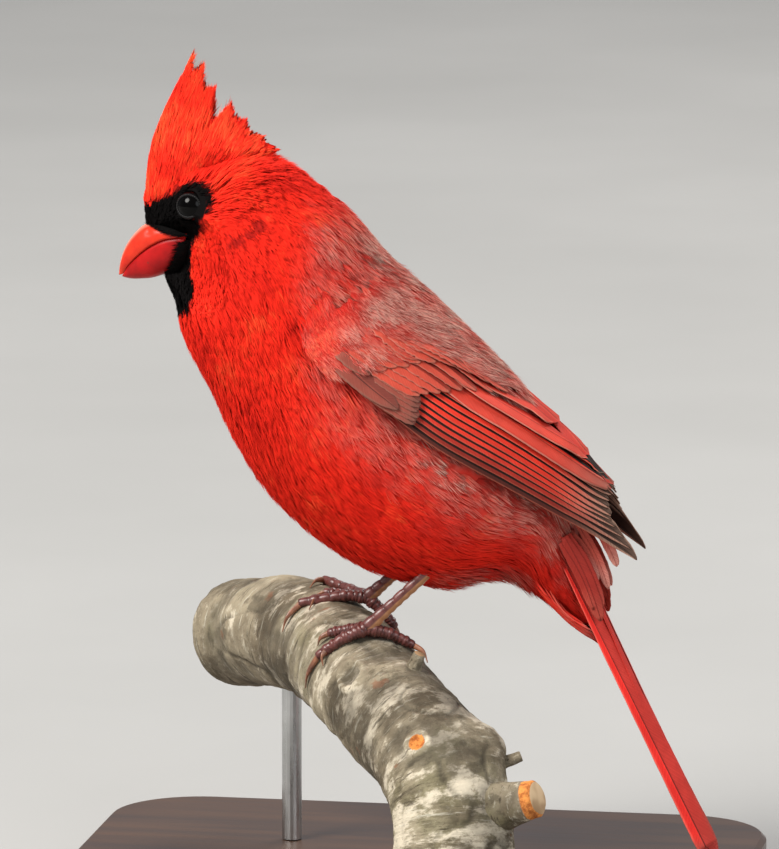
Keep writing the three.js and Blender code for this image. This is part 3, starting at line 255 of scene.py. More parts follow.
def place_camera():
    azimuth, elevation = math.radians(CAMERA["azimuth"]), math.radians(CAMERA["elevation"])
    level = math.cos(elevation)
    forward = Vector((-math.sin(azimuth) * level, math.cos(azimuth) * level, -math.sin(elevation)))
    data = bpy.data.cameras.new("camera")
    data.sensor_fit = "VERTICAL"
    data.sensor_height = SENSOR
    data.lens = SENSOR * CAMERA["distance"] / CAMERA["height"]
    data.clip_end = 60
    camera = add_object("camera", data)
    camera.location = Vector(CAMERA["target"]) - forward * CAMERA["distance"]
    camera.rotation_euler = forward.to_track_quat("-Z", "Y").to_euler()
    bpy.context.scene.camera = camera


def place_lights():
    for name, (place, size, power, colour) in LIGHTS.items():
        data = bpy.data.lights.new(name, "AREA")
        data.shape = "DISK"
        data.size = size
        data.energy = power
        data.color = colour
        light = add_object(name, data)
        light.location = place
        light.rotation_euler = (Vector(LIT) - Vector(place)).to_track_quat("-Z", "Y").to_euler()
    world = bpy.data.worlds.new("studio")
    world.use_nodes = True
    sky = world.node_tree.nodes["Background"]
    sky.inputs[0].default_value = SKY
    sky.inputs[1].default_value = SKY_STRENGTH
    bpy.context.scene.world = world


def floor(material):
    mesh = bpy.data.meshes.new("floor")
    corners = [(FLOOR_HALF * x, FLOOR_HALF * y, 0) for x, y in ((-1, -1), (1, -1), (1, 1), (-1, 1))]
    mesh.from_pydata(corners, [], [(0, 1, 2, 3)])
    mesh.materials.append(material)
    add_object("floor", mesh)


# Node materials.
class Nodes:
    """Short ways to add nodes to one material."""

    def __init__(self, name):
        self.material = bpy.data.materials.new(name)
        self.material.use_nodes = True
        self.tree = self.material.node_tree
        self.shader = self.tree.nodes["Principled BSDF"]

    def node(self, kind, **settings):
        made = self.tree.nodes.new(kind)
        for key, value in settings.items():
            setattr(made, key, value)
        return made

    def put(self, socket, value):
        if isinstance(value, bpy.types.NodeSocket):
            self.tree.links.new(value, socket)
        elif isinstance(value, (tuple, list)):
            socket.default_value = (*value, 1) if len(socket.default_value) > len(value) else value
        else:
            socket.default_value = value

    def attribute(self, name):
        return self.node("ShaderNodeAttribute", attribute_name=name).outputs["Fac"]

    def math(self, operation, *values):
        made = self.node("ShaderNodeMath", operation=operation)
        for socket, value in zip(made.inputs, values):
            self.put(socket, value)
        return made.outputs[0]

    def plus(self, a, b):
        return self.math("ADD", a, b)

    def times(self, a, b):
        return self.math("MULTIPLY", a, b)

    def smooth(self, value, low, high, to_low=0.0, to_high=1.0):
        made = self.node("ShaderNodeMapRange", interpolation_type="SMOOTHSTEP")
        for socket, given in zip(made.inputs, (value, low, high, to_low, to_high)):
            self.put(socket, given)
        return made.outputs[0]

    def mix(self, share, a, b, blend="MIX"):
        made = self.node("ShaderNodeMix", data_type="RGBA", blend_type=blend)
        self.put(made.inputs["Factor"], share)
        self.put(made.inputs[6], a)
        self.put(made.inputs[7], b)
        return made.outputs[2]

    def tint(self, colour, other, value, low, high, to_high=1.0, to_low=0.0):
        """Colour that turns to another as a value goes from low to high."""
        return self.mix(self.smooth(value, low, high, to_low, to_high), colour, other)

    def place(self, scale=(1, 1, 1)):
        mapping = self.node("ShaderNodeMapping")
        self.put(mapping.inputs["Vector"], self.node("ShaderNodeTexCoord").outputs["Object"])
        mapping.inputs["Scale"].default_value = scale
        return mapping.outputs[0]

    def noise(self, scale, detail=3, vector=None, roughness=0.55, line=None):
        """Noise through space, or along one value."""
        made = self.node("ShaderNodeTexNoise", noise_dimensions="3D" if line is None else "1D")
        for name, value in (("Scale", scale), ("Detail", detail), ("Roughness", roughness)):
            made.inputs[name].default_value = value
        if line is not None:
            self.put(made.inputs["W"], line)
        else:
            self.put(made.inputs["Vector"], vector if vector is not None else self.place())
        return made.outputs["Fac"]

    def bump(self, height, strength, distance):
        made = self.node("ShaderNodeBump")
        made.inputs["Strength"].default_value = strength
        made.inputs["Distance"].default_value = distance
        self.put(made.inputs["Height"], height)
        self.put(self.shader.inputs["Normal"], made.outputs[0])

    def done(self, colour, roughness=0.6, **constants):
        self.put(self.shader.inputs["Base Color"], colour)
        self.put(self.shader.inputs["Roughness"], roughness)
        for name, value in constants.items():
            self.put(self.shader.inputs[name.replace("_", " ")], value)
        return self.material


def plumage_material():
    """Red barbs, darker at the root, with the black face, the dusty fringes of the back, and painted shade
    where the 'deep' value is high.
    """
    m = Nodes("plumage")
    along, tone = m.attribute("along"), m.attribute("tone")
    patch = m.smooth(m.noise(90), 0.3, 0.7)
    shade = m.plus(m.times(tone, 0.75), m.times(patch, 0.25))
    red = m.tint((0.60, 0.013, 0.008), (0.93, 0.026, 0.012), shade, 0.15, 0.6)
    red = m.tint(red, (0.98, 0.10, 0.03), shade, 0.6, 0.95)
    # Painted shade: the 'deep' value turns the red to a dark red.
    red = m.mix(m.attribute("deep"), red, (0.30, 0.010, 0.008))
    red = m.tint(red, (0.30, 0.012, 0.010), along, 0.0, 0.35, 0.0, 0.4)
    fringe = m.times(m.attribute("dust"), m.smooth(along, 0.35, 0.95, 0.3, 1.0))
    dusty = m.tint((0.24, 0.095, 0.072), (0.74, 0.50, 0.40), tone, 0.15, 0.75)
    black = m.mix(tone, (0.0008, 0.0006, 0.0006), (0.0028, 0.0020, 0.0020))
    colour = m.mix(m.attribute("black"), m.mix(fringe, red, dusty), black)
    return m.done(colour, 0.75, Specular_IOR_Level=0.06)


def vane_material(name):
    """A feather's vane: outer and inner web, worn tip, pale edge, shaft and barb lines, and painted shade on
    the wing's lowest feathers.
    """
    outer, inner, tip, edge, shaft, tip_from, border, edge_from, narrow = VANES[name]
    m = Nodes(name + "_vane")
    along, across, barb, tone = (m.attribute(key) for key in ("along", "across", "barb", "tone"))
    fine = m.noise(2.6, 3, roughness=0.5, line=barb)
    worn = m.times(m.smooth(along, tip_from, 1.0), m.smooth(fine, 0.3, 0.6, 0.7, 1.0))
    # Painted shade: the outer web darkens to dark brown on the lowest feathers of the wing.
    colour = m.mix(m.attribute("dim"), outer, (0.050, 0.018, 0.013))
    colour = m.tint(colour, edge, across, edge_from, 1.0, 0.7)
    colour = m.mix(worn, colour, tip)
    edging = m.times(m.smooth(across, -0.7, -1.0), m.smooth(along, 0.6, 0.95, 0.0, 0.9))
    inside = m.math("SUBTRACT", across, m.attribute("bar"))
    inside = m.math("SUBTRACT", inside, m.smooth(along, 0.62, 0.95, 0.0, narrow))
    within = m.tint(inner, tip, along, 0.8, 1.0, 0.3)
    colour = m.tint(m.mix(edging, within, tip), colour, inside, border, border + 0.12)
    colour = m.tint(colour, shaft, m.math("ABSOLUTE", across), 0.03, 0.06, 0.0, 0.85)
    dark = m.mix(1.0, colour, (0.55, 0.5, 0.5), "MULTIPLY")
    colour = m.tint(colour, dark, m.noise(170, 5), 0.35, 0.65, 0.0, 0.4)
    colour = m.tint(colour, dark, fine, 0.35, 0.65, 0.0, 0.5)
    colour = m.tint(colour, dark, tone, 0.0, 1.0, 0.0, 0.35)
    m.bump(fine, 0.35, 0.00012)
    return m.done(colour, 0.6, Specular_IOR_Level=0.14)


def bill_material():
    """Red horn, with a painted highlight along the ridge, darker below, and small specks."""
    m = Nodes("bill_horn")
    patch, fine = m.noise(160, 4), m.noise(900, 2, m.place((1, 1, 0.3)))
    colour = m.tint((0.46, 0.014, 0.007), (0.64, 0.034, 0.012), patch, 0.3, 0.7)
    # Painted highlight along the culmen.
    colour = m.tint(colour, (0.90, 0.36, 0.25), m.attribute("ridge"), 0.82, 1.0, 0.75)
    colour = m.tint(colour, (0.42, 0.05, 0.02), m.attribute("along"), 0.75, 1.0, 0.4)
    lower = m.tint((0.26, 0.003, 0.004), (0.46, 0.007, 0.007), patch, 0.3, 0.7)
    colour = m.mix(m.attribute("lower"), colour, lower)
    specks = m.node("ShaderNodeTexVoronoi")
    specks.inputs["Scale"].default_value = 330
    m.put(specks.inputs["Vector"], m.place())
    colour = m.tint(colour, (0.12, 0.03, 0.02), specks.outputs["Distance"], 0.07, 0.13, 0.0, 0.5)
    m.bump(m.plus(fine, m.times(patch, 0.6)), 0.22, 0.0002)
    return m.done(colour, m.smooth(fine, 0.2, 0.8, 0.32, 0.46), Specular_IOR_Level=0.2)


def plain_material(name):
    """Two tones clouded together at one scale, with a bump of the same grain."""
    dark, light, scale, roughness, more = PLAIN[name]
    constants = {"bump": 0.0002, "stretch": (1, 1, 1), **more}
    bump, stretch = constants.pop("bump"), constants.pop("stretch")
    m = Nodes(name)
    grain, wide = m.noise(scale, 5, m.place(stretch)), m.noise(scale * 0.22, 2)
    share = m.plus(m.times(grain, 0.6), m.times(wide, 0.4))
    m.bump(grain, 0.4, bump)
    rough = m.smooth(grain, 0.2, 0.8, roughness - 0.08, roughness + 0.08)
    return m.done(m.tint(dark, light, share, 0.3, 0.7), rough, **constants)


def leg_material():
    """Dark scales, with a paler back to the shank and dark seams."""
    m = Nodes("leg_scales")
    grain = m.noise(520, 4)
    pale = m.times(m.attribute("shank"), m.smooth(m.attribute("front"), 0.80, 0.46))
    colour = m.tint((0.050, 0.012, 0.010), (0.125, 0.032, 0.026), grain, 0.3, 0.7)
    colour = m.tint(colour, (0.44, 0.205, 0.09), pale, 0.2, 0.8, 0.85)
    colour = m.tint(colour, (0.24, 0.09, 0.078), m.attribute("plate"), 0.6, 1.0, 0.25)
    colour = m.tint(colour, (0.028, 0.010, 0.009), m.attribute("seam"), 0.2, 0.9, 0.8)
    m.bump(grain, 0.3, 0.00015)
    return m.done(colour, m.smooth(grain, 0.2, 0.8, 0.28, 0.42), Specular_IOR_Level=0.5)


def bark_material():
    """Grey bark with moss, lichen, rust, bands round the branch, bare wood at a scar, and painted shade in
    the hollows of its relief.
    """
    m = Nodes("bark")
    ring = m.attribute("ring")

    def streaks(across, round_, offset, detail):
        trio = m.node("ShaderNodeCombineXYZ")
        m.put(trio.inputs[0], m.math("MULTIPLY_ADD", ring, across, offset))
        m.put(trio.inputs[1], m.times(m.attribute("cosine"), round_))
        m.put(trio.inputs[2], m.times(m.attribute("sine"), round_))
        return m.noise(1.0, detail, trio.outputs[0], 0.68)

    grain, blotch, moss = m.noise(520, 8, None, 0.7), m.noise(52, 7, None, 0.65), m.noise(24, 6, None, 0.6)
    broad, thin = streaks(0.17, 1.1, 0.0, 8), streaks(0.75, 1.0, 40.0, 7)
    colour = m.tint((0.145, 0.113, 0.072), (0.36, 0.305, 0.21), blotch, 0.36, 0.64)
    colour = m.tint(colour, (0.19, 0.18, 0.085), moss, 0.52, 0.64, 0.42)
    colour = m.tint(colour, (0.50, 0.46, 0.36), grain, 0.54, 0.72, 0.55)
    colour = m.tint(colour, (0.68, 0.60, 0.46), m.math("MULTIPLY_ADD", ring, 0.0008, broad), 0.57, 0.67, 0.92)
    colour = m.tint(colour, (0.085, 0.068, 0.042), broad, 0.46, 0.38, 0.6)
    colour = m.tint(colour, (0.60, 0.56, 0.45), thin, 0.58, 0.66, 0.6)
    colour = m.tint(colour, (0.050, 0.036, 0.022), thin, 0.42, 0.35, 0.75)
    colour = m.tint(colour, (0.26, 0.085, 0.035), m.noise(130), 0.66, 0.72, 0.6)
    colour = m.tint(colour, (0.045, 0.034, 0.022), grain, 0.40, 0.30, 0.6)
    # Painted shade: darker where the relief is low, in the bark's hollows.
    colour = m.tint(colour, (0.045, 0.036, 0.024), m.attribute("high"), 0.3, -0.5, 0.65)
    bare = m.plus(m.attribute("bare"), m.times(grain, 0.5))
    wood = m.tint((0.36, 0.10, 0.022), (0.80, 0.30, 0.07), grain, 0.35, 0.6)
    colour = m.tint(colour, wood, bare, 0.55, 0.8)
    m.bump(m.plus(grain, m.times(thin, 1.4)), 0.9, 0.0006)
    return m.done(colour, 0.82, Specular_IOR_Level=0.25)


def cut_wood_material():
    """Yearly rings inside a dark rim of bark."""
    m = Nodes("cut_wood")
    radial = m.attribute("radial")
    rings = m.noise(1.7, 2, roughness=0.5, line=m.plus(radial, m.times(m.noise(60), 1.4)))
    colour = m.tint((0.36, 0.22, 0.11), (0.60, 0.43, 0.25), rings, 0.4, 0.6)
    colour = m.tint(colour, (0.10, 0.07, 0.04), radial, 12.6, 13.4)
    m.bump(rings, 0.3, 0.0003)
    return m.done(colour, 0.75)


# Curves and forms. All of them are in millimetres.
def spline(values, share, clamped=False):
    """Smooth value of a list at shares of its length, which may run a little past its ends."""
    values = np.asarray(values, float)
    last = len(values) - 1
    first = values[0] if clamped else 2 * values[0] - values[1]
    end = values[last] if clamped else 2 * values[last] - values[last - 1]
    padded = np.concatenate([[first], values, [end]])
    at = np.clip(np.asarray(share, float), -0.03, 1.08) * last
    i = np.clip(np.floor(at).astype(int), 0, last - 1)
    t = at - i
    if values.ndim > 1:
        t = t[..., None]
    p0, p1, p2, p3 = (padded[i + k] for k in range(4))
    v0, v1 = (p2 - p0) / 2, (p3 - p1) / 2
    return (2 * p1 - 2 * p2 + v0 + v1) * t ** 3 + (-3 * p1 + 3 * p2 - 2 * v0 - v1) * t ** 2 + v0 * t + p1


def unit(vectors):
    return vectors / np.maximum(np.linalg.norm(vectors, axis=-1, keepdims=True), 1e-9)


def between(ends, share):
    return ends[0] + (ends[1] - ends[0]) * share


def step(low, high, value):
    t = np.clip((value - low) / (high - low), 0, 1)
    return t * t * (3 - 2 * t)


def band(value, from_, full, until, gone):
    """Rises from 0 to 1, and falls back to 0."""
    return step(from_, full, value) * step(gone, until, value)


def grid(a, b):
    return np.meshgrid(a, b, indexing="ij")


def turns(count):
    """Even angles round a full turn."""
    return np.linspace(0, 2 * np.pi, count + 1)[:-1]


def axes(outward):
    """Two directions across another."""
    a = unit(np.cross(outward, [0, 0, 1.0]))
    return a, np.cross(a, outward)


def around(a, b, turn):
    return a * np.cos(turn)[:, None] + b * np.sin(turn)[:, None]


def points_of(flat, side):
    """Points from their [x, z] and their y."""
    return np.stack([flat[..., 0], side, flat[..., 1]], -1)


def cloud(points, scale, seed=0):
    """Smooth noise from 0 to 1 at points in millimetres."""
    q = np.asarray(points, float) / scale
    cell = np.floor(q).astype(np.int64)
    f = q - cell
    f = f * f * (3 - 2 * f)
    total = 0
    for corner in range(8):
        d = np.array([corner & 1, corner >> 1 & 1, corner >> 2 & 1])
        c = cell + d
        h = (c[..., 0] * 73856093) ^ (c[..., 1] * 19349663) ^ (c[..., 2] * 83492791) ^ (seed * 2654435761)
        h = ((h ^ (h >> 13)) * 1274126177) & 0xFFFFFF
        weight = np.prod(np.where(d == 1, f, 1 - f), axis=-1)
        total = total + weight * h / 0xFFFFFF
    return total


def edge_distance(points, polygon):
    """Signed distance of [x, z] points from a closed outline: negative inside."""
    best = np.full(points.shape[:-1], 1e9)
    inside = np.zeros(points.shape[:-1], bool)
    for a, b in zip(polygon, np.roll(polygon, -1, axis=0)):
        run = b - a
        t = np.clip(((points - a) @ run) / (run @ run), 0, 1)
        best = np.minimum(best, np.linalg.norm(points - a - t[..., None] * run, axis=-1))
        crosses = (a[1] > points[..., 1]) != (b[1] > points[..., 1])
        rise = b[1] - a[1] if b[1] != a[1] else 1e-9
        inside ^= crosses & (points[..., 0] < a[0] + (points[..., 1] - a[1]) / rise * run[0])
    return np.where(inside, -best, best)


class Form:
    """A form with places (u, v). What grows on it starts a little inside its bare shape."""

    steps = (0.004, 0.02)

    def basis(self, u, v):
        """Steps along u and v, and the outward normal."""
        du, dv = self.steps
        along = (self.bare(u + du, v) - self.bare(u - du, v)) / (2 * du)
        across = (self.bare(u, v + dv) - self.bare(u, v - dv)) / (2 * dv)
        return along, across, self.face_out(unit(np.cross(along, across)), v)

    def at(self, u, v):
        return self.bare(u, v) - self.basis(u, v)[2] * self.sunk(u)[..., None]


class BodyForm(Form):
    """The body. u runs from the bill to the tail, v is the angle round it from its back."""

    def bare(self, u, v):
        turn = np.cos(v)
        middle = spline(BODY[:, 5], u, True)
        down = np.where(turn > 0, middle * (1 - turn), middle - (1 - middle) * turn)[..., None]
        back, front = spline(BODY[:, 0:2], u), spline(BODY[:, 2:4], u)
        flat = back + (front - back) * down
        side = -np.maximum(spline(BODY[:, 4], u, True), 0.5) * np.sin(v)
        nearest = 3.0 + 2.4 * step(162, 168, flat[..., 1])
        limit = nearest + 1.15 * np.maximum(edge_distance(flat, BILL_OUTLINE), 0)
        return points_of(flat, np.clip(side, -limit, limit))

    def face_out(self, normal, v):
        return -normal

    def sunk(self, u):
        return 0.35 + step(0.05, 0.35, u)


class WingForm(Form):
    """The folded left wing. u runs along it in millimetres / 100, v up it in millimetres / 10."""

    steps = (0.01, 0.04)

    def __init__(self):
        self.shares = np.linspace(0, 1, 400)
        self.reaches = (spline(WING[:, 0:2], self.shares) - WING_START) @ WING_RUN

    def bare(self, u, v):
        share = np.interp(u * 100, self.reaches, self.shares)
        low, top = spline(WING[:, 0:2], share), spline(WING[:, 2:4], share)
        height = np.clip(v * 10 / np.linalg.norm(top - low, axis=-1), -0.06, 0.99)
        flat = low + (top - low) * height[..., None]
        inward = 1 - np.sqrt(np.maximum(1 - height * height, 0))
        side = spline(WING[:, 4], share, True) * (1 - spline(WING[:, 5], share, True) * inward)
        side = side - 2.4 * step(0.02, -0.09, u)
        flat = flat - np.array([0.9, 1.1]) * (step(0.72, 0.99, height) * step(0.62, 0.35, u))[..., None]
        return points_of(flat, -side)

    def face_out(self, normal, v):
        return normal * np.where(normal[..., 1:2] > 0, -1.0, 1.0)

    def sunk(self, u):
        return np.zeros(np.shape(u))


class CrestForm(Form):
    """The raised crest. u runs up its feathers, v is the angle round it from its front."""

    def __init__(self, depth, grouped, thin):
        self.depth, self.grouped, self.thin = depth, grouped, thin

    def end(self, v):
        """How far up the feathers reach, with the gap between the crest's two parts."""
        s = (1 - np.cos(v)) / 2
        gap = 0.34 * np.exp(-((s - 0.5) / 0.05) ** 2)
        return 1.05 - 0.17 * np.sin(np.pi * CREST_LOCKS * s) ** 2 - gap - 0.30 * step(0.82, 1.0, s)

    def bare(self, u, v):
        s = (1 - np.cos(v)) / 2
        pull = self.grouped * np.clip(u, 0, 1) ** 2.6
        s = s - pull * np.sin(2 * np.pi * CREST_LOCKS * s) / (2 * np.pi * CREST_LOCKS)
        flat = between((spline(CREST_ROOTS, s), spline(CREST_TIPS, s)), u[..., None])
        swell = np.sin(np.pi * np.clip(u, 0, 1))
        bow, rear = 1.9 * step(0.45, 0, s) * swell, step(0.5, 1.0, s) * swell
        sine = np.sin(v)
        side = -sine / np.sqrt(sine ** 2 + 0.12) * 1.058
        narrow = 1 - 0.42 * step(0.02, -0.4, u)
        half = spline(CREST_HALF, s, True) * np.maximum(1.0 - u, 0.012) ** 0.95 * narrow * self.thin
        return np.stack([flat[..., 0] - bow + rear * 0.3, side * half, flat[..., 1] + rear], -1)

    def face_out(self, normal, v):
        outward = np.stack([-np.cos(v), -np.sin(v), 0 * v], -1)
        flip = np.sign(np.sum(normal * outward, axis=-1, keepdims=True))
        return normal * np.where(flip == 0, 1, flip)

    def sunk(self, u):
        return np.full(np.shape(u), self.depth)


BODY_FORM = BodyForm()
WING_FORM = WingForm()


# Meshes.
class Pile:
    """Collects points and faces of many closed pieces, then makes one object of them."""

    def __init__(self):
        self.points, self.faces, self.patches, self.normals = [], [], [], []
        self.values, self.count = {}, 0

    def add(self, points, patch, *faces, normals=None, **values):
        points = np.asarray(points, float).reshape(-1, 3)
        self.points.append(points)
        self.patches.append(np.asarray(patch, float).reshape(-1, 2))
        self.faces += [part + self.count for part in faces]
        if normals is not None:
            self.normals.append(normals)
        for name, given in values.items():
            self.values.setdefault(name, []).append(np.broadcast_to(given, (len(points),)).astype(float))
        self.count += len(points)

    def build(self, name, slot, *materials, replaces=(), mirror=False):
        points = np.concatenate(self.points) * MM
        faces = [part[:, ::-1] if mirror else part for part in self.faces]
        if mirror:
            points = points * [1, -1, 1]
        corners = np.concatenate([part.ravel() for part in faces])
        sizes = np.concatenate([np.full(len(part), part.shape[1]) for part in faces])
        mesh = bpy.data.meshes.new(name)
        mesh.vertices.add(len(points))
        mesh.vertices.foreach_set("co", points.ravel())
        mesh.loops.add(len(corners))
        mesh.loops.foreach_set("vertex_index", corners.astype(np.int32))
        mesh.polygons.add(len(sizes))
        mesh.polygons.foreach_set("loop_start", (np.cumsum(sizes) - sizes).astype(np.int32))
        mesh.update(calc_edges=True)
        mesh.polygons.foreach_set("use_smooth", np.ones(len(sizes), bool))
        for key, parts in self.values.items():
            mesh.attributes.new(key, "FLOAT", "POINT").data.foreach_set("value", np.concatenate(parts))
        patch = np.clip(np.concatenate(self.patches)[corners], 0.001, 0.999)
        mesh.uv_layers.new(name="OFBake").data.foreach_set("uv", patch.ravel())
        for material in materials:
            mesh.materials.append(material)
        if self.normals:
            soft = np.concatenate(self.normals)
            if mirror:
                soft = soft.reshape(-1, 3, 3)[:, ::-1].reshape(-1, 3) * [1, -1, 1]
            held = mesh.attributes.new("custom_normal", "FLOAT_VECTOR", "CORNER")
            held.data.foreach_set("vector", soft.astype(np.float32).ravel())
        made = add_object(name, mesh)
        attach(made, "root")
        if replaces:
            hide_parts(*replaces)
        return made


def grid_faces(rows, columns, closed):
    """Quads of a grid of points, whose rows close on themselves if asked."""
    r, c = grid(np.arange(rows - 1), np.arange(columns if closed else columns - 1))
    low, high, n = r * columns, (r + 1) * columns, (c + 1) % columns
    return np.stack([low + c, low + n, high + n, high + c], -1).reshape(-1, 4)


def faces_in(points, quads, outward):
    """Whether quads face against the directions that they should face."""
    a, b, d = (points[quads[:, k]] for k in (0, 1, 3))
    return (np.cross(b - a, d - a) * outward).sum() < 0


def tube(pile, rings, patch=None, **values):
    """Closed tube from rings of points (rows, columns, 3), with fanned ends."""
    rows, columns = rings.shape[:2]
    base = rows * columns
    points = np.concatenate([rings.reshape(-1, 3), [rings[0].mean(axis=0), rings[-1].mean(axis=0)]])
    sides = grid_faces(rows, columns, True)
    c = np.arange(columns)
    n = (c + 1) % columns
    first = np.stack([n, c, np.full(columns, base)], -1)
    last = np.stack([c + base - columns, n + base - columns, np.full(columns, base + 1)], -1)
    if patch is None:
        patch = np.stack([np.tile(c / columns, rows), np.repeat(np.arange(rows) / (rows - 1), columns)], -1)
        patch = np.concatenate([patch, [[0.5, 0], [0.5, 1]]])
    spread = {key: np.append(np.ravel(given), np.ravel(given)[[0, -1]]) if np.size(given) > 1 else given
              for key, given in values.items()}
    away = points[sides[:, 0]] - np.repeat(rings.mean(axis=1)[:-1], columns, axis=0)
    if faces_in(points, sides, away):
        sides, first, last = sides[:, ::-1], first[:, ::-1], last[:, ::-1]
    pile.add(points, patch, sides, first, last, **spread)


def paint_ends(made, sides, tubes=1):
    """Gives both fanned ends of each tube the second material."""
    indices = np.zeros((tubes, len(made.data.polygons) // tubes), np.int32)
    indices[:, -2 * sides:] = 1
    made.data.polygons.foreach_set("material_index", indices.ravel())


# One barb: two sections of three points and a tip. Its lower faces are told apart for their
# normals, and its patch is one small square of the unwrap.
BARB = np.array([[0, 1, 2]] + [face for a, b in ((0, 1), (1, 2), (2, 0))
                               for face in ([a, a + 3, b + 3], [a, b + 3, b], [a + 3, 6, b + 3])])
BARB_UNDER = (1, 2, 3)
BARB_LEAN = np.array([-0.55, 0.55, 0, -0.55, 0.55, 0, 0])
BARB_ALONG = np.array([0, 0, 0, 0.55, 0.55, 0.55, 1.0])
BARB_PATCH = np.array([[0.3, 0], [0.7, 0], [0.5, 0], [0.1, 0.5], [0.9, 0.5], [0.5, 0.5], [0.5, 1]]) - 0.5
BARB_FACES, BARB_POINTS = len(BARB), len(BARB_ALONG)
PATCH = 0.003
# Triangles in one piece of the coat, at most.
COAT_LIMIT = 198000


def add_barbs(pile, line, normal, width, patch, thick=None, keep=slice(None), **values):
    """Barbs along three points each (n, 3, 3), flat across the given normal."""
    each = {key: np.repeat(np.broadcast_to(given, len(line))[keep], BARB_POINTS)
            for key, given in values.items()}
    thick = width * 0.35 if thick is None else thick
    line, normal, width, patch, thick = (given[keep] for given in (line, normal, width, patch, thick))
    count = len(line)
    run = unit(line[:, 2] - line[:, 0])
    side = unit(np.cross(run, normal))
    top = np.cross(side, run)
    sections = []
    for k, share in ((0, 0.65), (1, 1.0)):
        across = side * (width * share / 2)[:, None]
        sections += [line[:, k] - across, line[:, k] + across, line[:, k] + top * (thick * share)[:, None]]
    points = np.stack([*sections, line[:, 2]], 1)
    faces = (BARB[None] + BARB_POINTS * np.arange(count)[:, None, None]).reshape(-1, 3)
    under = np.where(np.isin(np.arange(BARB_FACES), BARB_UNDER), -1.0, 1.0)[None, :, None, None]
    soft = unit(normal[:, None, None] * under + side[:, None, None] * BARB_LEAN[BARB][None, ..., None]
                + run[:, None, None] * 0.25)
    pile.add(points, patch[:, None] + BARB_PATCH[None] * PATCH, faces, normals=soft.reshape(-1, 3),
             along=np.tile(BARB_ALONG, count), **each)


def scatter(form, u_range, v_range, density, random, cells=(150, 110)):
    """Even, jittered places on a form, given how many there are to a square millimetre."""
    u = np.linspace(*u_range, cells[0] + 1)
    v = np.linspace(*v_range, cells[1] + 1)
    corners = form.at(*grid(u, v))
    a, b = corners[1:, :-1] - corners[:-1, :-1], corners[:-1, 1:] - corners[:-1, :-1]
    area = np.linalg.norm(np.cross(a, b), axis=-1)
    weight = area * density(*grid((u[1:] + u[:-1]) / 2, (v[1:] + v[:-1]) / 2))
    sums = np.cumsum(weight.ravel())
    count = int(sums[-1])
    picks = np.searchsorted(sums, (np.arange(count) + random.random(count)) / count * sums[-1])
    i, j = np.divmod(np.minimum(picks, weight.size - 1), cells[1])
    return u[i] + random.random(count) * (u[1] - u[0]), v[j] + random.random(count) * (v[1] - v[0])


def tuft_width(length):
    return 0.36 * length + 0.3


def tuft_barbs(form, u, v, length, width, lift, lean, barbs, random):
    """Barbs of the tufts rooted at (u, v): their lines, normals and the tuft each belongs to."""
    along, across, normal = form.basis(u, v)
    per_u, per_v = 1 / np.linalg.norm(along, axis=-1), 1 / np.maximum(np.linalg.norm(across, axis=-1), 1.0)
    tuft = np.repeat(np.arange(len(u)), barbs)
    n = len(tuft)
    fan = np.tile(np.linspace(-1, 1, barbs), len(u)) + random.normal(0, 0.1, n)
    reach = length[tuft] * (1 - 0.34 * fan ** 2) * random.uniform(0.78, 1.08, n)
    turn = lean[tuft] + random.normal(0, 0.05, n)
    rise = lift[tuft] * random.uniform(0.55, 1.3, n)
    line = np.empty((n, 3, 3))
    for k, (share, side, high) in enumerate(((-0.05, 0.14, -0.35), (0.5, 0.42, 0.62), (1.0, 0.5, 1.0))):
        run = reach * share
        off = fan * side * width[tuft] + turn * run
        here = form.at(u[tuft] + run * per_u[tuft], v[tuft] + off * per_v[tuft])
        height = high * rise if high > 0 else np.full(n, high)
        line[:, k] = here + normal[tuft] * height[:, None]
    return line, normal[tuft], tuft


# Plumage of the body and the crest.
def from_back(v):
    """Angle of a place from the middle of the back."""
    return np.abs(np.arctan2(np.sin(v), np.cos(v)))


def wing_distance(points):
    """How far body points lie outside the folded wing, as seen from the side."""
    return np.where(np.abs(points[..., 1]) > 7, edge_distance(points[..., [0, 2]], WING_OUTLINE), NO_WING)


def clear_of_face(points):
    """Whether barbs keep off the eye and the bill."""
    eye = np.hypot(points[..., 0] - EYE["x"], points[..., 2] - EYE["z"])
    bill = edge_distance(points[..., [0, 2]], BILL_OUTLINE)
    hidden = (np.abs(points[..., 1]) < 6.4) & (bill < -0.4)
    near_eye = (eye < EYE["opening"] + 0.7) & (np.abs(points[..., 1]) > 4)
    return ~(hidden | near_eye)


def line_is_clear(line):
    return clear_of_face(line[:, 1]) & clear_of_face(line[:, 2])


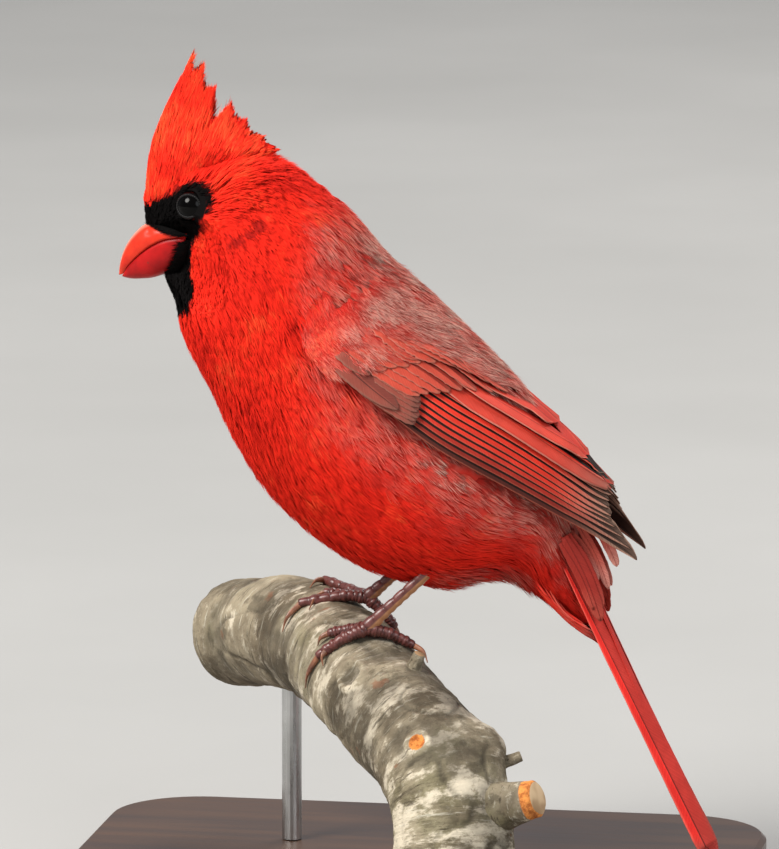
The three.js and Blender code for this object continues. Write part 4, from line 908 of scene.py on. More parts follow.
def markings(points, u, v):
    """How black and dusty the plumage is at points of the body, and how deep its painted shade is."""
    flat = points[..., [0, 2]]
    x = flat[..., 0]
    back, beside = from_back(v), wing_distance(points)
    black = step(0.35, -0.35, edge_distance(flat, FACE_EDGE) + (cloud(points, 1.6, 3) - 0.5) * 0.9)
    mantle = step(1.6, 0.6, back) * step(0.32, 0.46, u) * (1 - 0.6 * step(0.84, 0.95, u))
    mantle = mantle * step(-27, -13, x) * (1 - 0.7 * step(14, 3, beside) * step(6, -6, x))
    nape = step(1.9, 1.0, back) * step(0.28, 0.38, u) * 0.5 * step(-27, -15, x)
    patchy = step(0.35, 0.7, cloud(points, 4.5, 7))
    flank = band(u, 0.56, 0.68, 0.75, 0.81) * step(0.55, 0.72, cloud(points * [1, 0.5, 1], 2.6, 11))
    flank = flank * step(13, 2, beside) * 0.9 + 0.2 * step(20, 5, beside) * band(u, 0.50, 0.60, 0.80, 0.90)
    dust = np.clip(np.maximum(mantle * (0.65 + 0.35 * patchy), np.maximum(nape * patchy, flank)), 0, 0.95)
    # Painted shade, carried as 'deep': under the rear of the body, on the back beneath the wings, more toward
    # the tail, and over the mantle.
    under, over = step(0.84, 0.95, u) * step(1.2, 2.4, back), step(0.45, 0.75, u) * step(2.0, 1.2, back)
    deep = np.clip(0.5 * under + 0.28 * over + 0.16 * step(0.6, 0.8, u), 0, 0.85)
    # Painted shadow just below the wing's lower edge.
    hem = 0.9 * step(4.0, 0.5, beside) * step(0.52, 0.6, u) * (beside < NO_WING)
    # Painted shadow in the crease across the cheek.
    crease_shadow = 0.75 * step(1.7, 0.4, np.abs(edge_distance(flat, CREASE_SHADOW)))
    for more in (0.35 * mantle, hem, crease_shadow):
        deep = np.maximum(deep, more)
    return black, dust, deep


def body_patch(u, v):
    """Place on the unwrap of the skin: round it and along it."""
    across = 0.5 + np.arctan2(np.sin(v), np.cos(v)) / (2 * np.pi) * 0.98
    return np.stack([across, np.clip(u, 0, 1.05) / 1.06], -1)


def coat_length(u):
    return np.interp(u, *COAT_LENGTH)


def body_skin(material):
    rows, columns = GRIDS["skin"]
    u, v = grid(np.linspace(0, 1, rows), turns(columns))
    points = BODY_FORM.at(u, v)
    black, dust, deep = markings(points, u, v)
    tone = 0.35 + 0.3 * cloud(points, 2.0, 5)
    patch = np.concatenate([body_patch(u, v).reshape(-1, 2), [[0.5, 0.0], [0.5, 0.99]]])
    pile = Pile()
    tube(pile, points, patch, along=0.45, tone=tone, black=black, dust=dust * 0.6, deep=deep)
    pile.build("skin", "plumage_red", material, replaces=("head", "face", "neck", "torso", "rump"))


def body_coat(material):
    """Tufts all over the body but under the wings, over the mantle's roots and at the tail."""
    random = np.random.default_rng(SEEDS["coat"])
    u, v = scatter(BODY_FORM, (0.012, 1.0), (0, 2 * np.pi),
                   lambda s, _: FULL * 4.6 / (coat_length(s) * tuft_width(coat_length(s))), random)
    roots = BODY_FORM.at(u, v)
    covered = (u > 0.46) & (u < 0.78) & (np.cos(v) > 0.85) & (random.random(len(u)) < 0.6)
    over_tail = (roots[:, 0] - 41.2) * 20.0 + (roots[:, 2] - 92.2) * 7.9 > -14
    over_tail &= (roots[:, 2] < 95) & (roots[:, 0] > 36)
    keep = clear_of_face(roots) & (wing_distance(roots) >= -3.4) & ~covered & ~over_tail
    u, v, roots = u[keep], v[keep], roots[keep]
    n = len(u)
    black, dust, deep = markings(roots, u, v)
    beside, x = wing_distance(roots), roots[:, 0]
    crown = step(1.7, 1.0, from_back(v)) * band(u, 0.015, 0.05, 0.18, 0.27) * (1 - 0.85 * black)
    belly = band(u, 0.76, 0.80, 0.85, 0.90) * step(-0.5, -0.85, np.cos(v))
    hem = step(4.5, 1.5, beside) * step(6, 14, x)
    front = step(8.0, 1.0, beside) * step(6, -4, x)
    nape = band(u, 0.17, 0.21, 0.25, 0.32) * step(0.3, 0.6, np.cos(v))
    length = coat_length(u) * random.uniform(0.8, 1.2, n) * (1 + 0.7 * crown) * (1 + 0.35 * belly)
    length = length * (1 - 0.35 * hem)
    width = tuft_width(length)
    length = length * (1 + 0.25 * front)
    lift = np.interp(u, *COAT_LIFT) * random.uniform(0.8, 1.25, n)
    lift = lift * (1 - 0.5 * step(0.90, 0.97, u))
    lift = lift * (1 - 0.4 * hem) + 1.9 * front + 1.3 * nape + 0.5 * crown + 1.7 * belly
    dust = np.maximum(dust, 0.7 * belly * random.random(n))
    tone = random.normal(0.55, 0.06, n) + 0.36 * (cloud(roots, 8.0, 2) - 0.5) + 0.12 * crown
    # Painted shade: just below the wing's lower edge the dusty fringes get a lower tone and turn darker.
    tone = np.clip(tone - 0.4 * step(9, 2, beside) * step(0.52, 0.6, u) * (dust > 0.45), 0, 1)
    lean = random.normal(0, 0.13, n) - 1.35 * np.where(np.sin(v) > 0, 1.0, -1.0) * crown
    line, normal, tuft = tuft_barbs(BODY_FORM, u, v, length, width, lift, lean, BARBS["coat"], random)
    wide = np.interp(u, *COAT_WIDE)[tuft] * random.uniform(0.75, 1.25, len(tuft))
    tone = np.clip(tone[tuft] + random.normal(0, 0.07, len(tuft)) * (1 + 2.6 * dust[tuft]), 0, 1)
    clear, patch = line_is_clear(line), body_patch(u, v)[tuft]
    piece = (np.argsort(np.argsort(u)) // (COAT_LIMIT // (BARB_FACES * BARBS["coat"])))[tuft]
    for k in range(piece.max() + 1):
        pile = Pile()
        add_barbs(pile, line, normal, wide, patch, keep=(piece == k) & clear, tone=tone, black=black[tuft],
                  dust=dust[tuft], deep=deep[tuft])
        pile.build(f"coat_{k + 1}", "plumage_red", material)


def mantle(material):
    """Long loose feathers down the middle of the back, over the upper edges of both wings."""
    def density(u, v):
        return FULL * 0.36 * step(0.75, 0.55, np.abs(v) + 0.35 * step(0.55, 0.8, u))

    random = np.random.default_rng(SEEDS["mantle"])
    u, v = scatter(BODY_FORM, (0.36, 0.86), (-0.75, 0.75), density, random)
    roots = BODY_FORM.at(u, v)
    n = len(u)
    length = random.uniform(5.6, 7.8, n)
    line, normal, tuft = tuft_barbs(BODY_FORM, u, v, length, 0.38 * length, np.full(n, 1.5),
                                    random.normal(0, 0.12, n), BARBS["mantle"], random)
    line = line + normal[:, None] * (0.9 * step(0.36, 0.5, u)[tuft])[:, None, None]
    _, dust, deep = markings(roots, u, v)
    tone = np.clip(random.normal(0.5, 0.1, n) + 0.7 * (cloud(roots, 2.6, 12) - 0.5), 0, 1)
    wide = random.uniform(0.22, 0.36, len(tuft))
    tone = np.clip(tone[tuft] + random.normal(0, 0.22, len(tuft)), 0, 1)
    pile = Pile()
    add_barbs(pile, line, normal, wide, body_patch(u, v)[tuft], tone=tone, black=0, dust=dust[tuft],
              deep=deep[tuft])
    pile.build("mantle", "plumage_red", material)


def crest_foot(s):
    """How far down the crest's feathers start, from front to rear."""
    return 0.2 + 0.8 * step(0.0, 0.3, s)


def crest_layer(pile, form, low, amount, random):
    """Plumes over one of the layers that fill the crest from side to side."""
    u, v = scatter(form, (low, 0.95), (0, 2 * np.pi),
                   lambda a, _: FULL * amount * (0.75 + 1.3 * step(0.3, 0.9, a)), random)
    s = (1 - np.cos(v)) / 2
    size = np.linalg.norm(spline(CREST_TIPS, s) - spline(CREST_ROOTS, s), axis=-1)
    left = (form.end(v) * random.uniform(0.84, 1.05, len(u)) - u) * size
    roots = form.bare(u, v)
    keep = (left > 0.7) & (edge_distance(roots[..., [0, 2]], FACE_EDGE) > 0.2) & (u > -0.42 * crest_foot(s))
    u, v, s, left, roots = (given[keep] for given in (u, v, s, left, roots))
    length = np.minimum(random.uniform(6.5, 10.5, len(u)), left)
    width = np.interp(length, *PLUME_WIDTH)
    lift = np.interp(u, *CREST_LIFT) * (1 - 0.6 * step(0.75, 0.95, s))
    lean = random.normal(0, 0.05, len(u))
    line, normal, tuft = tuft_barbs(form, u, v, length, width, lift, lean, BARBS["crest"], random)
    tone = np.clip(0.72 + 0.2 * (cloud(roots, 3.0, 8) - 0.5) + random.normal(0, 0.06, len(u)), 0, 1)
    tone = np.clip(tone[tuft] + random.normal(0, 0.1, len(tuft)), 0, 1)
    # Painted shade, strongest at the foot of the crest, with soft patches.
    deep = np.clip(0.04 * step(0.2, -0.35, u) + 0.08 * cloud(roots, 4.0, 9), 0, 1)[tuft]
    wide = random.uniform(0.15, 0.26, len(tuft)) * np.interp(u, [0, 0.85], [1, 0.6])[tuft]
    patch = np.stack([0.02 + 0.96 * v / (2 * np.pi), 0.25 + 0.5 * np.clip(u, -0.4, 1)], -1)[tuft]
    rear = step(0.35, 0.8, s)[tuft] * np.clip(0.4 + u[tuft], 0, 1)
    normal = unit(normal + rear[:, None] * np.array([-0.7, 0, 0.9]))
    clear = line_is_clear(line)
    add_barbs(pile, line, normal, wide, patch, keep=clear, tone=tone, black=0, dust=0, deep=deep)


def crest(material):
    random = np.random.default_rng(SEEDS["crest"])
    u, v = grid(np.concatenate([np.linspace(-0.4, 0.5, 30), np.linspace(0.53, 0.62, 4)]), turns(80))
    u = np.where(u < 0, u * crest_foot((1 - np.cos(v)) / 2), u)
    skin = Pile()
    # The skin under the plumes gets a little painted shade.
    tube(skin, CrestForm(0.8, 0.0, 1.0).at(u, v), along=0.5, tone=0.5, black=0, dust=0, deep=0.1)
    skin.build("crest_skin", "plumage_red", material)
    pile = Pile()
    for grouped, thin, low, amount in CREST_LAYERS:
        crest_layer(pile, CrestForm(0.0, grouped, thin), low, amount, random)
    pile.build("crest_plumes", "plumage_red", material, replaces=("crest",))


# Vanes of the wings and the tail.
# Columns across a vane, from the edge of the inner web to the edge of the outer.
WEB = np.array([-1, -0.82, -0.5, -0.2, -0.045, 0, 0.06, 0.35, 0.75, 1.0])
# Thickness of a vane and height of its shaft.
VANE_THICK, SHAFT_HIGH = 0.28, 0.16


def vane(pile, shaft, up, outer, inner, cell, random, rag, tone, camber=0.12, tilt=0.0, dim=0.0, bar=0.0,
         mirror=False):
    """One feather: rows along its shaft, with an outer and an inner web, ragged at the edge."""
    rows, columns = len(shaft), len(WEB)
    run = unit(np.gradient(shaft, axis=0))
    side = unit(np.cross(run, up))
    top = np.cross(side, run)
    width = np.where(WEB[None] > 0, outer[:, None], inner[:, None])
    off = WEB[None] * width * (1 + rag * (random.random((rows, columns)) - 0.5) * (np.abs(WEB) > 0.9) * 2)
    ridge = np.where(WEB == 0, SHAFT_HIGH, 0.0)[None]
    high = ridge - camber * off ** 2 / np.maximum(width.max(), 1) + tilt * off
    high = high + 0.05 * (random.random((rows, columns)) - 0.5)
    over = shaft[:, None] + side[:, None] * off[..., None] + top[:, None] * high[..., None]
    under = over - top[:, None] * (VANE_THICK * (1 - 0.5 * np.abs(WEB)))[None, :, None]
    points = np.stack([over, under], 0).reshape(-1, 3)
    half = rows * columns
    faces = grid_faces(rows, columns, False)
    r, c = np.arange(rows - 1) * columns, np.arange(columns - 1)
    e, z = r + columns - 1, c + (rows - 1) * columns
    rims = [(r, r + columns), (e + columns, e), (c + 1, c), (z, z + 1)]
    rims = [np.stack([a, b, b + half, a + half], -1) for a, b in rims]
    quads = np.concatenate([faces, faces[:, ::-1] + half, *rims])
    if faces_in(points, faces, np.repeat(top[:-1], columns - 1, axis=0)):
        quads = quads[:, ::-1]
    if mirror:
        points, quads = points * [1, -1, 1], quads[:, ::-1]
    along = np.broadcast_to(np.linspace(0, 1, rows)[:, None], (rows, columns))
    across = np.broadcast_to(WEB[None], (rows, columns))
    length = np.concatenate([[0], np.cumsum(np.linalg.norm(np.diff(shaft, axis=0), axis=1))])
    barb = length[:, None] - 1.3 * np.abs(off) + 40 * random.random()
    u0, v0, du, dv = cell
    patch = np.stack([u0 + du * (0.5 + 0.48 * across), v0 + dv * (0.02 + 0.96 * along)], -1)
    along, across, barb = (np.tile(given.ravel(), 2) for given in (along, across, barb))
    pile.add(points, np.tile(patch.reshape(-1, 2), (2, 1)), quads, along=along, across=across, barb=barb,
             tone=tone, dim=dim, bar=bar)


def web(share, tip_from=0.86, root=0.55, sharp=0.0):
    """How wide a web is along a feather, as a share of its widest."""
    grow = root + (1 - root) * step(0, 0.35, share)
    close = np.sqrt(np.clip(1 - np.clip((share - tip_from) / (1.004 - tip_from), 0, 1) ** 2.2, 0.0, 1))
    return grow * close ** (1 + sharp)


def wing_vane(pile, root, tip, width, level, rise, cell, random, outer, rag=0.1, tip_from=0.88, narrow=0.55,
              sharp=0.0, dip=1.0, **values):
    """A feather of the folded wing. Root and tip: along the wing and up from its lower edge."""
    share = 1 - (1 - np.linspace(0, 1, FEATHER_ROWS["wing"])) ** 1.25
    u = between((root[0], tip[0]), share) / 100
    v = (between((root[1], tip[1]), share) + rise * np.sin(np.pi * share)) / 10
    normal = WING_FORM.basis(u, v)[2]
    lift = level - dip * (1 - step(0, 0.45, share))
    shaft = WING_FORM.bare(u, v) + normal * lift[:, None]
    wide = width * web(share, tip_from, narrow, sharp)
    vane(pile, shaft, normal, wide * outer, wide * (1 - outer), cell, random, rag, tilt=0.22, **values)


def wing(side, vanes, underlay, plumage):
    random = np.random.default_rng(SEEDS[side])
    mirror = side == "right"
    piles = {group: Pile() for group in ("flight", "covert", "tertial", "dusky")}
    for row, (group, count, roots, tips, width, level, rise, more) in enumerate(TIERS):
        for k in range(count):
            share = k / (count - 1)
            root, tip = spline(roots, share), spline(tips, share)
            tip = tip + random.normal(0, 0.2, 2) * [1, 0.3]
            wide = width * random.uniform(0.95, 1.05)
            tone = random.uniform(0.3, 1.0)
            cell = (k / 9, row / 9, 0.1, 0.1)
            # The painted shade fades from the lowest feather upward.
            own = {**more, "dim": max(0.0, more.get("dim", 0.0) - 0.24 * k)}
            wing_vane(piles[group], root, tip, wide, level + 0.03 * k, between(rise, share), cell, random,
                      tone=tone, **own)
    for group, pile in piles.items():
        replaced = (f"wing_{side}",) if group == "flight" else ()
        pile.build(f"{group}_feathers_{side}", "flight_feathers", vanes[group], replaces=replaced,
                   mirror=mirror)
    wing_core(side, underlay, mirror)
    lesser_coverts(side, plumage, mirror, random)


# How far the core lies under the wing's surface.
CORE_BELOW = 1.35


def wing_core(side, material, mirror):
    """The closed body of the wing under its feathers."""
    rows, columns = GRIDS["core"]
    reach = np.linspace(-4, 74, rows)[:, None]
    lowest, top, deep = (np.interp(reach, *curve) for curve in (CORE_LOWEST, CORE_TOP, CORE_DEEP))
    v = between((lowest, top), np.linspace(0.04, 0.93, columns)) / 10
    u = np.broadcast_to(reach / 100, v.shape)
    normal, surface = WING_FORM.basis(u, v)[2], WING_FORM.bare(u, v)
    outer = surface - normal * CORE_BELOW
    inner = surface - normal * (CORE_BELOW + deep)[..., None]
    pile = Pile()
    tube(pile, np.concatenate([outer, inner[:, ::-1]], 1))
    pile.build(f"wing_body_{side}", "flight_feathers", material, mirror=mirror)


def lesser_coverts(side, material, mirror, random):
    """Small soft feathers at the bend of the wing, and the longer ones that cover its upper edge."""
    def density(u, v):
        bend = step(0.12, 0.06, u - 0.06 * (v - 0.8)) * step(-0.11, -0.08, u)
        upper = step(0.0, 0.12, v - np.interp(u, *COVERT_EDGE)) * step(0.40, 0.33, u)
        inside = step(-0.4, -3.2, edge_distance(WING_FORM.bare(u, v)[..., [0, 2]], WING_OUTLINE))
        return FULL * np.maximum(1.7 * bend, 0.8 * upper) * np.where(v > 1.0, inside, 1.0)

    u, v = scatter(WING_FORM, (-0.11, 0.40), (-0.05, 2.3), density, random, (90, 70))
    roots = WING_FORM.bare(u, v)
    length = np.interp(u, *COVERT_LENGTH) * random.uniform(0.85, 1.15, len(u))
    lift = 0.55 + 0.35 * step(0.02, 0.12, u) + 0.4 * step(1.2, 1.8, v)
    lean = random.normal(0, 0.12, len(u))
    line, normal, tuft = tuft_barbs(WING_FORM, u, v, length, tuft_width(length), lift, lean, BARBS["wing"],
                                    random)
    line = line + normal[:, None] * 0.15
    tone = np.clip(random.normal(0.5, 0.1, len(u)) + 0.6 * (cloud(roots, 2.6, 12) - 0.5), 0, 1)
    wide = random.uniform(0.18, 0.32, len(tuft))
    tone = np.clip(tone[tuft] + random.normal(0, 0.2, len(tuft)), 0, 1)
    back, shoulder = step(-0.06, 0.10, u + 0.05 * v), step(0.7, 1.4, v) * step(0.20, 0.04, u)
    dust = (0.3 + 0.7 * back) * (0.25 + 0.35 * step(0.4, 0.7, cloud(roots, 5, 9)) + 0.2 * step(1.2, 1.8, v))
    dust = np.clip(dust * (1 - 0.1 * shoulder), 0, 0.9)[tuft]
    # Painted shade over these coverts, more at the shoulder.
    deep = 0.35 + 0.15 * shoulder[tuft]
    patch = np.stack([(u + 0.12) * 1.8, v / 2.4], -1)[tuft]
    pile = Pile()
    add_barbs(pile, line, normal, wide, patch, tone=tone, black=0, dust=dust, deep=deep)
    pile.build(f"lesser_coverts_{side}", "plumage_red", material, mirror=mirror)


def tail(material):
    """Pairs of feathers, the outermost lowest, folded round each other."""
    random = np.random.default_rng(SEEDS["tail"])
    root, tip = np.array(TAIL["root"]), np.array(TAIL["tip"])
    run = tip - root
    out = np.array([-run[1], run[0]]) / np.linalg.norm(run)
    pile = Pile()
    last = TAIL["pairs"] - 1
    for pair in range(last, -1, -1):
        rank = pair / last
        share = 1 - (1 - np.linspace(0, 1, FEATHER_ROWS["tail"])) ** 1.2
        share = share * (1.12 - 0.012 * pair) - 0.13
        width = (8.6 - 1.2 * rank) * np.clip(0.55 + 0.5 * share, 0.4, 1)
        outer = 0.42 - 0.10 * rank
        wide = width * web((share + 0.13) / 1.12, 0.9, 0.7)
        for side in (-1, 1):
            turn = math.radians(4 + 40 * rank ** 0.8) * side
            flat_part, upright_part = math.cos(turn), -side * math.sin(turn)
            edge = side * between(TAIL["half"], share) * (0.42 + 0.58 * rank)
            centre = edge - side * width * outer * flat_part
            height = (between(TAIL["deep"], share) - 0.5) * (0.5 - rank ** 0.9) + 0.03 * side
            height = height - TAIL["roll"] * centre
            flat = root + run * share[:, None] + out * height[:, None]
            shaft = points_of(flat, centre) * [1, -side, 1]
            up = np.broadcast_to([out[0] * flat_part, upright_part, out[1] * flat_part], shaft.shape)
            cell = (pair / 6, 0.5 if side > 0 else 0.0, 0.155, 0.48)
            tone = random.uniform(0.4, 1)
            vane(pile, shaft, up, wide * outer, wide * (1 - outer), cell, random, 0.02, tone, camber=0.25,
                 mirror=side > 0)
    pile.build("tail_feathers", "flight_feathers", material, replaces=("tail",))


def tail_coverts(material):
    """Soft feathers over and under the root of the tail."""
    random = np.random.default_rng(SEEDS["tail_coverts"])
    pile = Pile()
    barbs = BARBS["tail"]
    for (rx, rz), (tx, tz), spread, count, out, curl, arch, dusty in TAIL_TUFTS:
        for _ in range(count):
            side = random.uniform(-1, 1)
            back = random.uniform(0, 0.55)
            root = np.array([rx, side * spread * 0.9, rz]) + np.array([tx - rx, 0, tz - rz]) * back * 0.8
            short = 0.16 * side ** 2
            tip = np.array([tx - (tx - rx) * short * 0.8, side * spread * 0.85,
                            tz - (tz - rz) * short * 0.8])
            run = (tip - root) * random.uniform(0.84, 1.0)
            normal = -out * unit(np.cross([0, 1.0, 0], run))
            across = -out * np.cross(unit(run), normal)
            start = random.uniform(0.0, 0.75, barbs)
            end = np.clip(start + random.uniform(0.3, 0.5, barbs), 0, 1.02)
            angle = (random.choice([-1.0, 1.0], barbs) * random.random(barbs))[:, None]
            t = np.stack([start, (start + end) / 2, end], 1)
            off = 1.9 * angle * np.clip(1.08 - t, 0.02, 1) ** 0.6
            bow = np.sin(np.pi * np.clip(t, 0, 1)) * arch - 0.25 * off ** 2 / 2 - curl * 0.8 * side ** 2
            line = root + run * t[..., None] + across * off[..., None] + normal * bow[..., None]
            facing = unit(normal * 0.5 + np.array([0, np.sign(side) * (0.6 + 0.8 * abs(side)), 0]))
            tone = np.clip(random.normal(0.55, 0.12) + random.normal(0, 0.1, barbs), 0, 1)
            patch = np.tile([0.5 + side * 0.4, 0.25 + out * 0.2 + back * 0.05], (barbs, 1))
            wide = random.uniform(0.28, 0.45, barbs)
            # These tufts get a little painted shade.
            add_barbs(pile, line, unit(facing + across * angle * 0.4), wide, patch, np.full(barbs, 0.12),
                      tone=tone, black=0, dust=0.05 + dusty * back ** 1.5, deep=0.15)
    pile.build("tail_coverts", "plumage_red", material)


def long_coverts(vanes):
    """The longest coverts over the tail's root and beside it."""
    random = np.random.default_rng(SEEDS["long_coverts"])
    share = np.linspace(0, 1, FEATHER_ROWS["covert"])[:, None]
    for group, name in (("rump", "rump_feathers"), ("shaded_tail_side", "shaded_tail_side_coverts")):
        feathers = LONG_COVERTS[group]
        pile = Pile()
        for k, (root, tip, y, width) in enumerate(feathers * 2):
            side = -1 if k < len(feathers) else 1
            root, tip = np.array(root), np.array(tip)
            run = unit(tip - root)
            out = np.array([-run[1], run[0]])
            flat = between((root, tip), share) + out * 0.8 * np.sin(np.pi * share)
            shaft = points_of(flat, np.full(len(share), side * y))
            up = np.broadcast_to([out[0] * 0.3, side * 0.95, out[1] * 0.3], shaft.shape)
            wide = width * web(share[:, 0], 0.72, 0.6) * 0.5
            tone = random.uniform(0.5, 1.0)
            vane(pile, shaft, up, wide, wide, (k / 7, 0.9, 0.13, 0.1), random, 0.06, tone, bar=-2.0)
        pile.build(name, "flight_feathers", vanes[group])


# Bill and eyes.
def bill_surface(share, angle, half, hollow=False):
    """Surface of one half of the bill, at a share from its base and an angle across it."""
    column, off, width, power, rise, narrow = BILL_HALVES[half]
    ridge, mouth, gonys = (spline(BILL[:, k:k + 2], share) for k in (column, 2, 4))
    base = mouth + unit(gonys - mouth) * off
    lift = np.clip(np.cos(angle), 0, 1) ** power
    wide = spline(BILL[:, 6], share, True) * width * np.sin(angle)
    if hollow:
        lift, wide = rise * np.cos(angle) ** 0.5, wide * narrow
    return points_of(base + (ridge - base) * lift[..., None], wide)


def bill(material):
    rows, columns = GRIDS["bill"]
    share = np.linspace(0, 1, rows)[:, None]
    angle = np.linspace(-np.pi / 2, np.pi / 2, columns)
    for half, (*_, power, _, _) in BILL_HALVES.items():
        inner_angle = angle[-2:0:-1]
        rings = np.concatenate([bill_surface(share, angle[None], half),
                                bill_surface(share, inner_angle[None], half, True)], 1)
        if half == "upper":
            reach = np.linalg.norm(rings[..., [0, 2]] - NOSTRIL, axis=-1)
            pit = np.exp(-(reach / 0.75) ** 2) * (np.abs(rings[..., 1]) > 2)
            rings = rings - np.sign(rings[..., 1:2]) * [0, 1.0, 0] * (pit * 0.5)[..., None]
        shape = rings.shape[:2]
        # ridge weights the painted highlight along the culmen.
        ridge = np.broadcast_to(np.append(np.cos(angle) ** power, 0 * inner_angle), shape)
        pile = Pile()
        tube(pile, rings, ridge=ridge, along=np.broadcast_to(share, shape), lower=float(half == "lower"))
        pile.build(f"bill_{half}_horn", "bill_horn", material, replaces=(f"bill_{half}",))


def bristles(material):
    """Short black feathers that point forward over the base of the bill."""
    random = np.random.default_rng(SEEDS["bristles"])
    pile = Pile()
    for half, n in (("upper", 1260), ("lower", 1140)):
        angle = random.uniform(-1.5, 1.5, n)
        start = -0.03 + random.uniform(-0.02, 0.02, n)
        reach = random.uniform(0.05, 0.13, n) * (1 + 0.5 * np.cos(angle) ** 2)
        sway = random.normal(0, 0.06, n)
        line = np.empty((n, 3, 3))
        for k, (t, high) in enumerate(((0.0, 0.3), (0.5, 0.75), (1.0, 0.55))):
            point = bill_surface(np.clip(start + reach * t, -0.03, 1), angle + sway * t, half)
            outward = unit(point - BILL_MIDDLE)
            if k == 0:
                point = point - outward * 0.5 + np.array([0.9, 0, 0])
            line[:, k] = point + outward * (high * random.uniform(0.7, 1.3, n))[:, None]
        wide = random.uniform(0.14, 0.24, n)
        patch = np.stack([0.5 + 0.2 * angle / 1.5, np.full(n, 0.02 + 0.02 * (half == "lower"))], -1)
        normal, tone = unit(line[:, 1] - BILL_MIDDLE), random.random(n)
        add_barbs(pile, line, normal, wide, patch, wide * 0.4, tone=tone, black=1, dust=0, deep=0)
    pile.build("bill_bristles", "plumage_black", material)


def lids(centre, outward, material, name):
    """Thin beaded rim round the eye: lower at the sides, so that the opening is a little oval."""
    many, small = (turns(count) for count in GRIDS["lid"])
    spoke = around(*axes(outward), many)
    bead = (0.30 * (1 + 0.2 * np.cos(many * 34)) * (1 + 0.3 * np.sin(many) ** 2))[:, None]
    oval = EYE["opening"] - 0.28 * np.sin(many) ** 2 + 0.12
    depth = np.sqrt(EYE["radius"] ** 2 - oval ** 2)
    hub = centre + outward * depth[:, None] + spoke * oval[:, None]
    ring = (hub[:, None] + spoke[:, None] * (bead * np.cos(small))[..., None]
            + outward * (bead * np.sin(small))[..., None])
    points = ring.reshape(-1, 3)
    quads = grid_faces(len(many) + 1, len(small), True) % len(points)
    if faces_in(points, quads, (points - np.repeat(hub, len(small), axis=0))[quads[:, 0]]):
        quads = quads[:, ::-1]
    pile = Pile()
    pile.add(points, np.stack(grid(many / 7, small / 7), -1), quads)
    pile.build(f"eyelids_{name}", "eye", material)


def eyes(ball, lid):
    rows, columns = GRIDS["eye"]
    polar = np.linspace(0.02, np.pi - 0.02, rows)[:, None, None]
    for side, name in ((-1, "left"), (1, "right")):
        centre = np.array([EYE["x"], side * EYE["y"], EYE["z"]])
        outward = unit(np.array([-0.22, side, 0.1]))
        spokes = around(*axes(outward), turns(columns))
        pile = Pile()
        tube(pile, centre + EYE["radius"] * (outward * np.cos(polar) + spokes * np.sin(polar)))
        pile.build(f"eyeball_{name}", "eye", ball, replaces=(f"eye_{name}",))
        lids(centre, outward, lid, name)


# Feet and branch.
def perch_point(share, turn, lift=0.0):
    """Place on the branch: share of its length and turn round it from its top, in radians."""
    share, turn = np.asarray(share, float), np.asarray(turn, float)
    run = unit(spline(PERCH_AXIS, share + 0.002) - spline(PERCH_AXIS, share - 0.002))
    top = unit(np.array([0, 0, 1.0]) - run * run[..., 2:3])
    side = np.cross(top, run)
    radius = spline(PERCH_RADII, share, True) + lift
    up, out = np.cos(turn) * radius, np.sin(turn) * radius
    return spline(PERCH_AXIS, share) + top * up[..., None] + side * out[..., None]


def on_perch(place, lift=0.0):
    """The same from a share and degrees."""
    return perch_point(place[0], math.radians(place[1]), lift)


def limb(pile, kind, points, radii, scutes, flat=1.0, raised=0.2, knots=0, front=(0, 0, 1.0), **values):
    """A tube along points, with raised plates on its front and swellings at its joints."""
    rows, sides = GRIDS[kind]
    share = np.linspace(0, 1, rows)
    run = unit(spline(points, share + 0.01) - spline(points, share - 0.01))
    top = unit(front - run * (run @ np.asarray(front, float))[:, None])
    side = np.cross(run, top)
    turn, share = turns(sides), share[:, None]
    facing = step(-0.35, 0.35, np.cos(turn))
    plate = np.sqrt(np.clip(np.sin(np.pi * ((share * scutes) % 1)), 0, 1))
    pads = 0.16 * np.sin(share * (scutes + 1) * np.pi * 1.3) ** 2 * step(0.2, -0.6, np.cos(turn))
    swell = 0.22 * np.exp(-((((share * (knots + 1)) % 1) - 0.5) / 0.16) ** 2) if knots else 0
    radius = spline(radii, share, True) + raised * (plate - 0.6) * facing + pads + swell
    rings = (spline(points, share) + top[:, None] * (radius * np.cos(turn))[..., None]
             + side[:, None] * (radius * np.sin(turn) * flat)[..., None])
    tube(pile, rings, front=np.broadcast_to(np.cos(turn) * 0.5 + 0.5, (rows, sides)),
         seam=step(0.45, 0.0, plate) * facing * (scutes > 0), plate=plate * facing, **values)


def foot(side, skin, horn):
    leg = LEGS[side]
    joint, ankle = on_perch(leg["joint"], 2.6), np.array(leg["ankle"])
    pile = Pile()
    shank = [ankle + (ankle - joint) * 0.1, ankle * 0.5 + joint * 0.5, joint]
    limb(pile, "shank", shank, SHANK, PLATES, flat=0.84, raised=0.3, front=(-1, -0.5, 0), shank=1.0)
    for k, (middle, knuckle, tip) in enumerate(leg["toes"]):
        start = joint - (joint - on_perch(middle, 1.5)) * 0.02
        toe = [start, on_perch(middle, 1.55), on_perch(knuckle, 1.2)]
        limb(pile, "toe", toe, TOE, PLATES, raised=0.22, knots=2, shank=0.0)
        claw = Pile()
        root = toe[2] * 0.94 + toe[1] * 0.06
        halfway = (on_perch(knuckle, 1.75) + on_perch(tip, 1.75)) / 2
        limb(claw, "claw", [root, halfway, on_perch(tip, 0.45)], CLAW, 0, flat=0.78)
        claw.build(f"claw_horn_{side}_{k + 1}", "claw_horn", horn, replaces=(f"claw_{side}_{k + 1}",))
    pile.build(f"foot_{side}", "leg_scales", skin, replaces=(f"leg_{side}",))


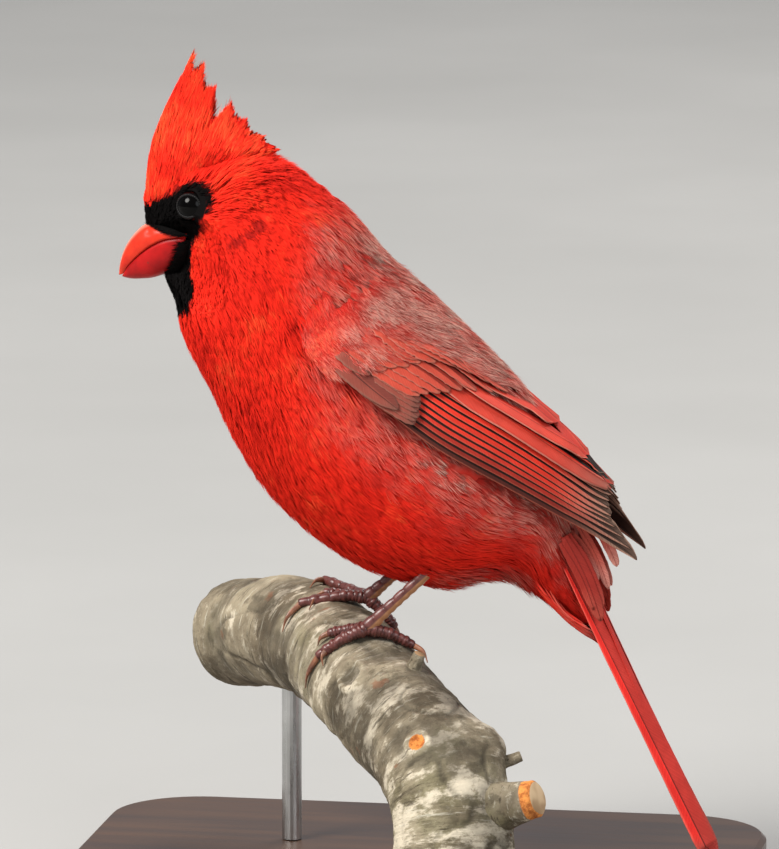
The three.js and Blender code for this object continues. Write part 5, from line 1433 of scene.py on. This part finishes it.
def branch(bark, cut):
    rows, sides = GRIDS["perch"]
    ss, tt = grid(np.linspace(0, 1, rows), turns(sides))
    cosine, sine = np.cos(tt), np.sin(tt)
    base = perch_point(ss, tt)
    high = sum(amount * (cloud(base, scale, k + 1) - 0.5) for k, (amount, scale) in enumerate(RELIEF))
    wrap = np.stack([ss * PERCH_LENGTH / 2.2, cosine * 1.3, sine * 1.3], -1)
    fold = np.stack([ss * PERCH_LENGTH / 9, cosine * 1.2, sine * 1.2], -1)
    high = high + 0.38 * (cloud(wrap, 1.0, 4) - 0.5)
    high = high - 0.45 * np.exp(-((cloud(fold, 1.0, 6) - 0.5) / 0.035) ** 2)
    bare = np.zeros(ss.shape)
    for place, radius, raised, opened in SCARS:
        far = np.linalg.norm(base - on_perch(place), axis=-1)
        rim, pit = np.exp(-((far - radius) / 0.9) ** 2), np.exp(-(far / (radius * 0.5)) ** 2)
        high = high + raised * rim - 0.6 * pit
        if opened:
            bare = np.maximum(bare, step(radius * 0.9, radius * 0.6, far))
    for place, radius, raised in SWELLINGS:
        far = np.linalg.norm(base - on_perch(place), axis=-1)
        high = high + raised * np.exp(-(far / (radius * 0.75)) ** 2)
    feet = [on_perch(place) for leg in LEGS.values() for toe in leg["toes"] for place in toe]
    near = np.min([np.linalg.norm(base - hub, axis=-1) for hub in feet], axis=0)
    high = np.where(near < 6, np.minimum(high, high * step(2, 6, near)), high)
    pile = Pile()
    tube(pile, perch_point(ss, tt, high), high=high, ring=ss * PERCH_LENGTH, cosine=cosine, sine=sine,
         bare=bare, radial=spline(PERCH_RADII, ss, True))
    pile.values["radial"][0][-2:] = 0.0
    paint_ends(pile.build("branch", "bark", bark, cut, replaces=("perch",)), sides)


def twigs(bark, cut):
    """The cut side twig, with its own small collar, and dead buds."""
    rows, sides = GRIDS["twig"]
    pile = Pile()
    for place, radius, length, wood in TWIGS:
        root = on_perch(place)
        outward = unit(root - spline(PERCH_AXIS, place[0]))
        a, b = axes(outward)
        reach, turn = np.linspace(-0.5 * radius, length, rows)[:, None], turns(sides)
        size = np.interp(reach, [-radius, 0, 0.5 * radius, length - 0.12 * radius, length],
                         [radius * 1.5, radius * 1.12, radius, radius * 0.88, radius * 0.76])
        core = root + outward * reach[..., None]
        rings = core + a * (size * np.cos(turn))[..., None] - b * (size * np.sin(turn))[..., None]
        high = 0.10 * radius * (cloud(rings, 0.5 * radius, 5) - 0.5)
        rings = rings + unit(rings - core) * high[..., None]
        bare = wood * step(length - 3.8, length - 1.2, reach)
        values = {"high": high, "ring": reach + 7, "cosine": np.cos(turn), "sine": np.sin(turn),
                  "bare": bare, "radial": size}
        tube(pile, rings, **{key: np.broadcast_to(given, high.shape) for key, given in values.items()})
    paint_ends(pile.build("branch_stubs", "bark", bark, cut), sides, len(TWIGS))


def main():
    bpy.context.scene.view_settings.view_transform = "Standard"
    place_camera()
    place_lights()
    floor(plain_material("floor_paper"))
    plumage = plumage_material()
    vanes = {name: vane_material(name) for name in VANES}
    underlay = plain_material("wing_underlay")
    body_skin(plumage)
    body_coat(plumage)
    crest(plumage)
    for side in ("left", "right"):
        wing(side, vanes, underlay, plumage)
    mantle(plumage)
    tail(vanes["tail"])
    tail_coverts(plumage)
    long_coverts(vanes)
    bill(bill_material())
    bristles(plumage)
    eyes(plain_material("eye_ball"), plain_material("eyelid"))
    scales, horn = leg_material(), plain_material("claw_horn")
    for side in ("left", "right"):
        foot(side, scales, horn)
    bark, cut = bark_material(), cut_wood_material()
    branch(bark, cut)
    twigs(bark, cut)
    wood, metal = plain_material("base_wood"), plain_material("rod_metal")
    for node, material in (("stand_base", wood), ("stand_rod_rear", metal), ("stand_rod_front", metal)):
        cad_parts[node].data.materials.clear()
        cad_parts[node].data.materials.append(material)


main()
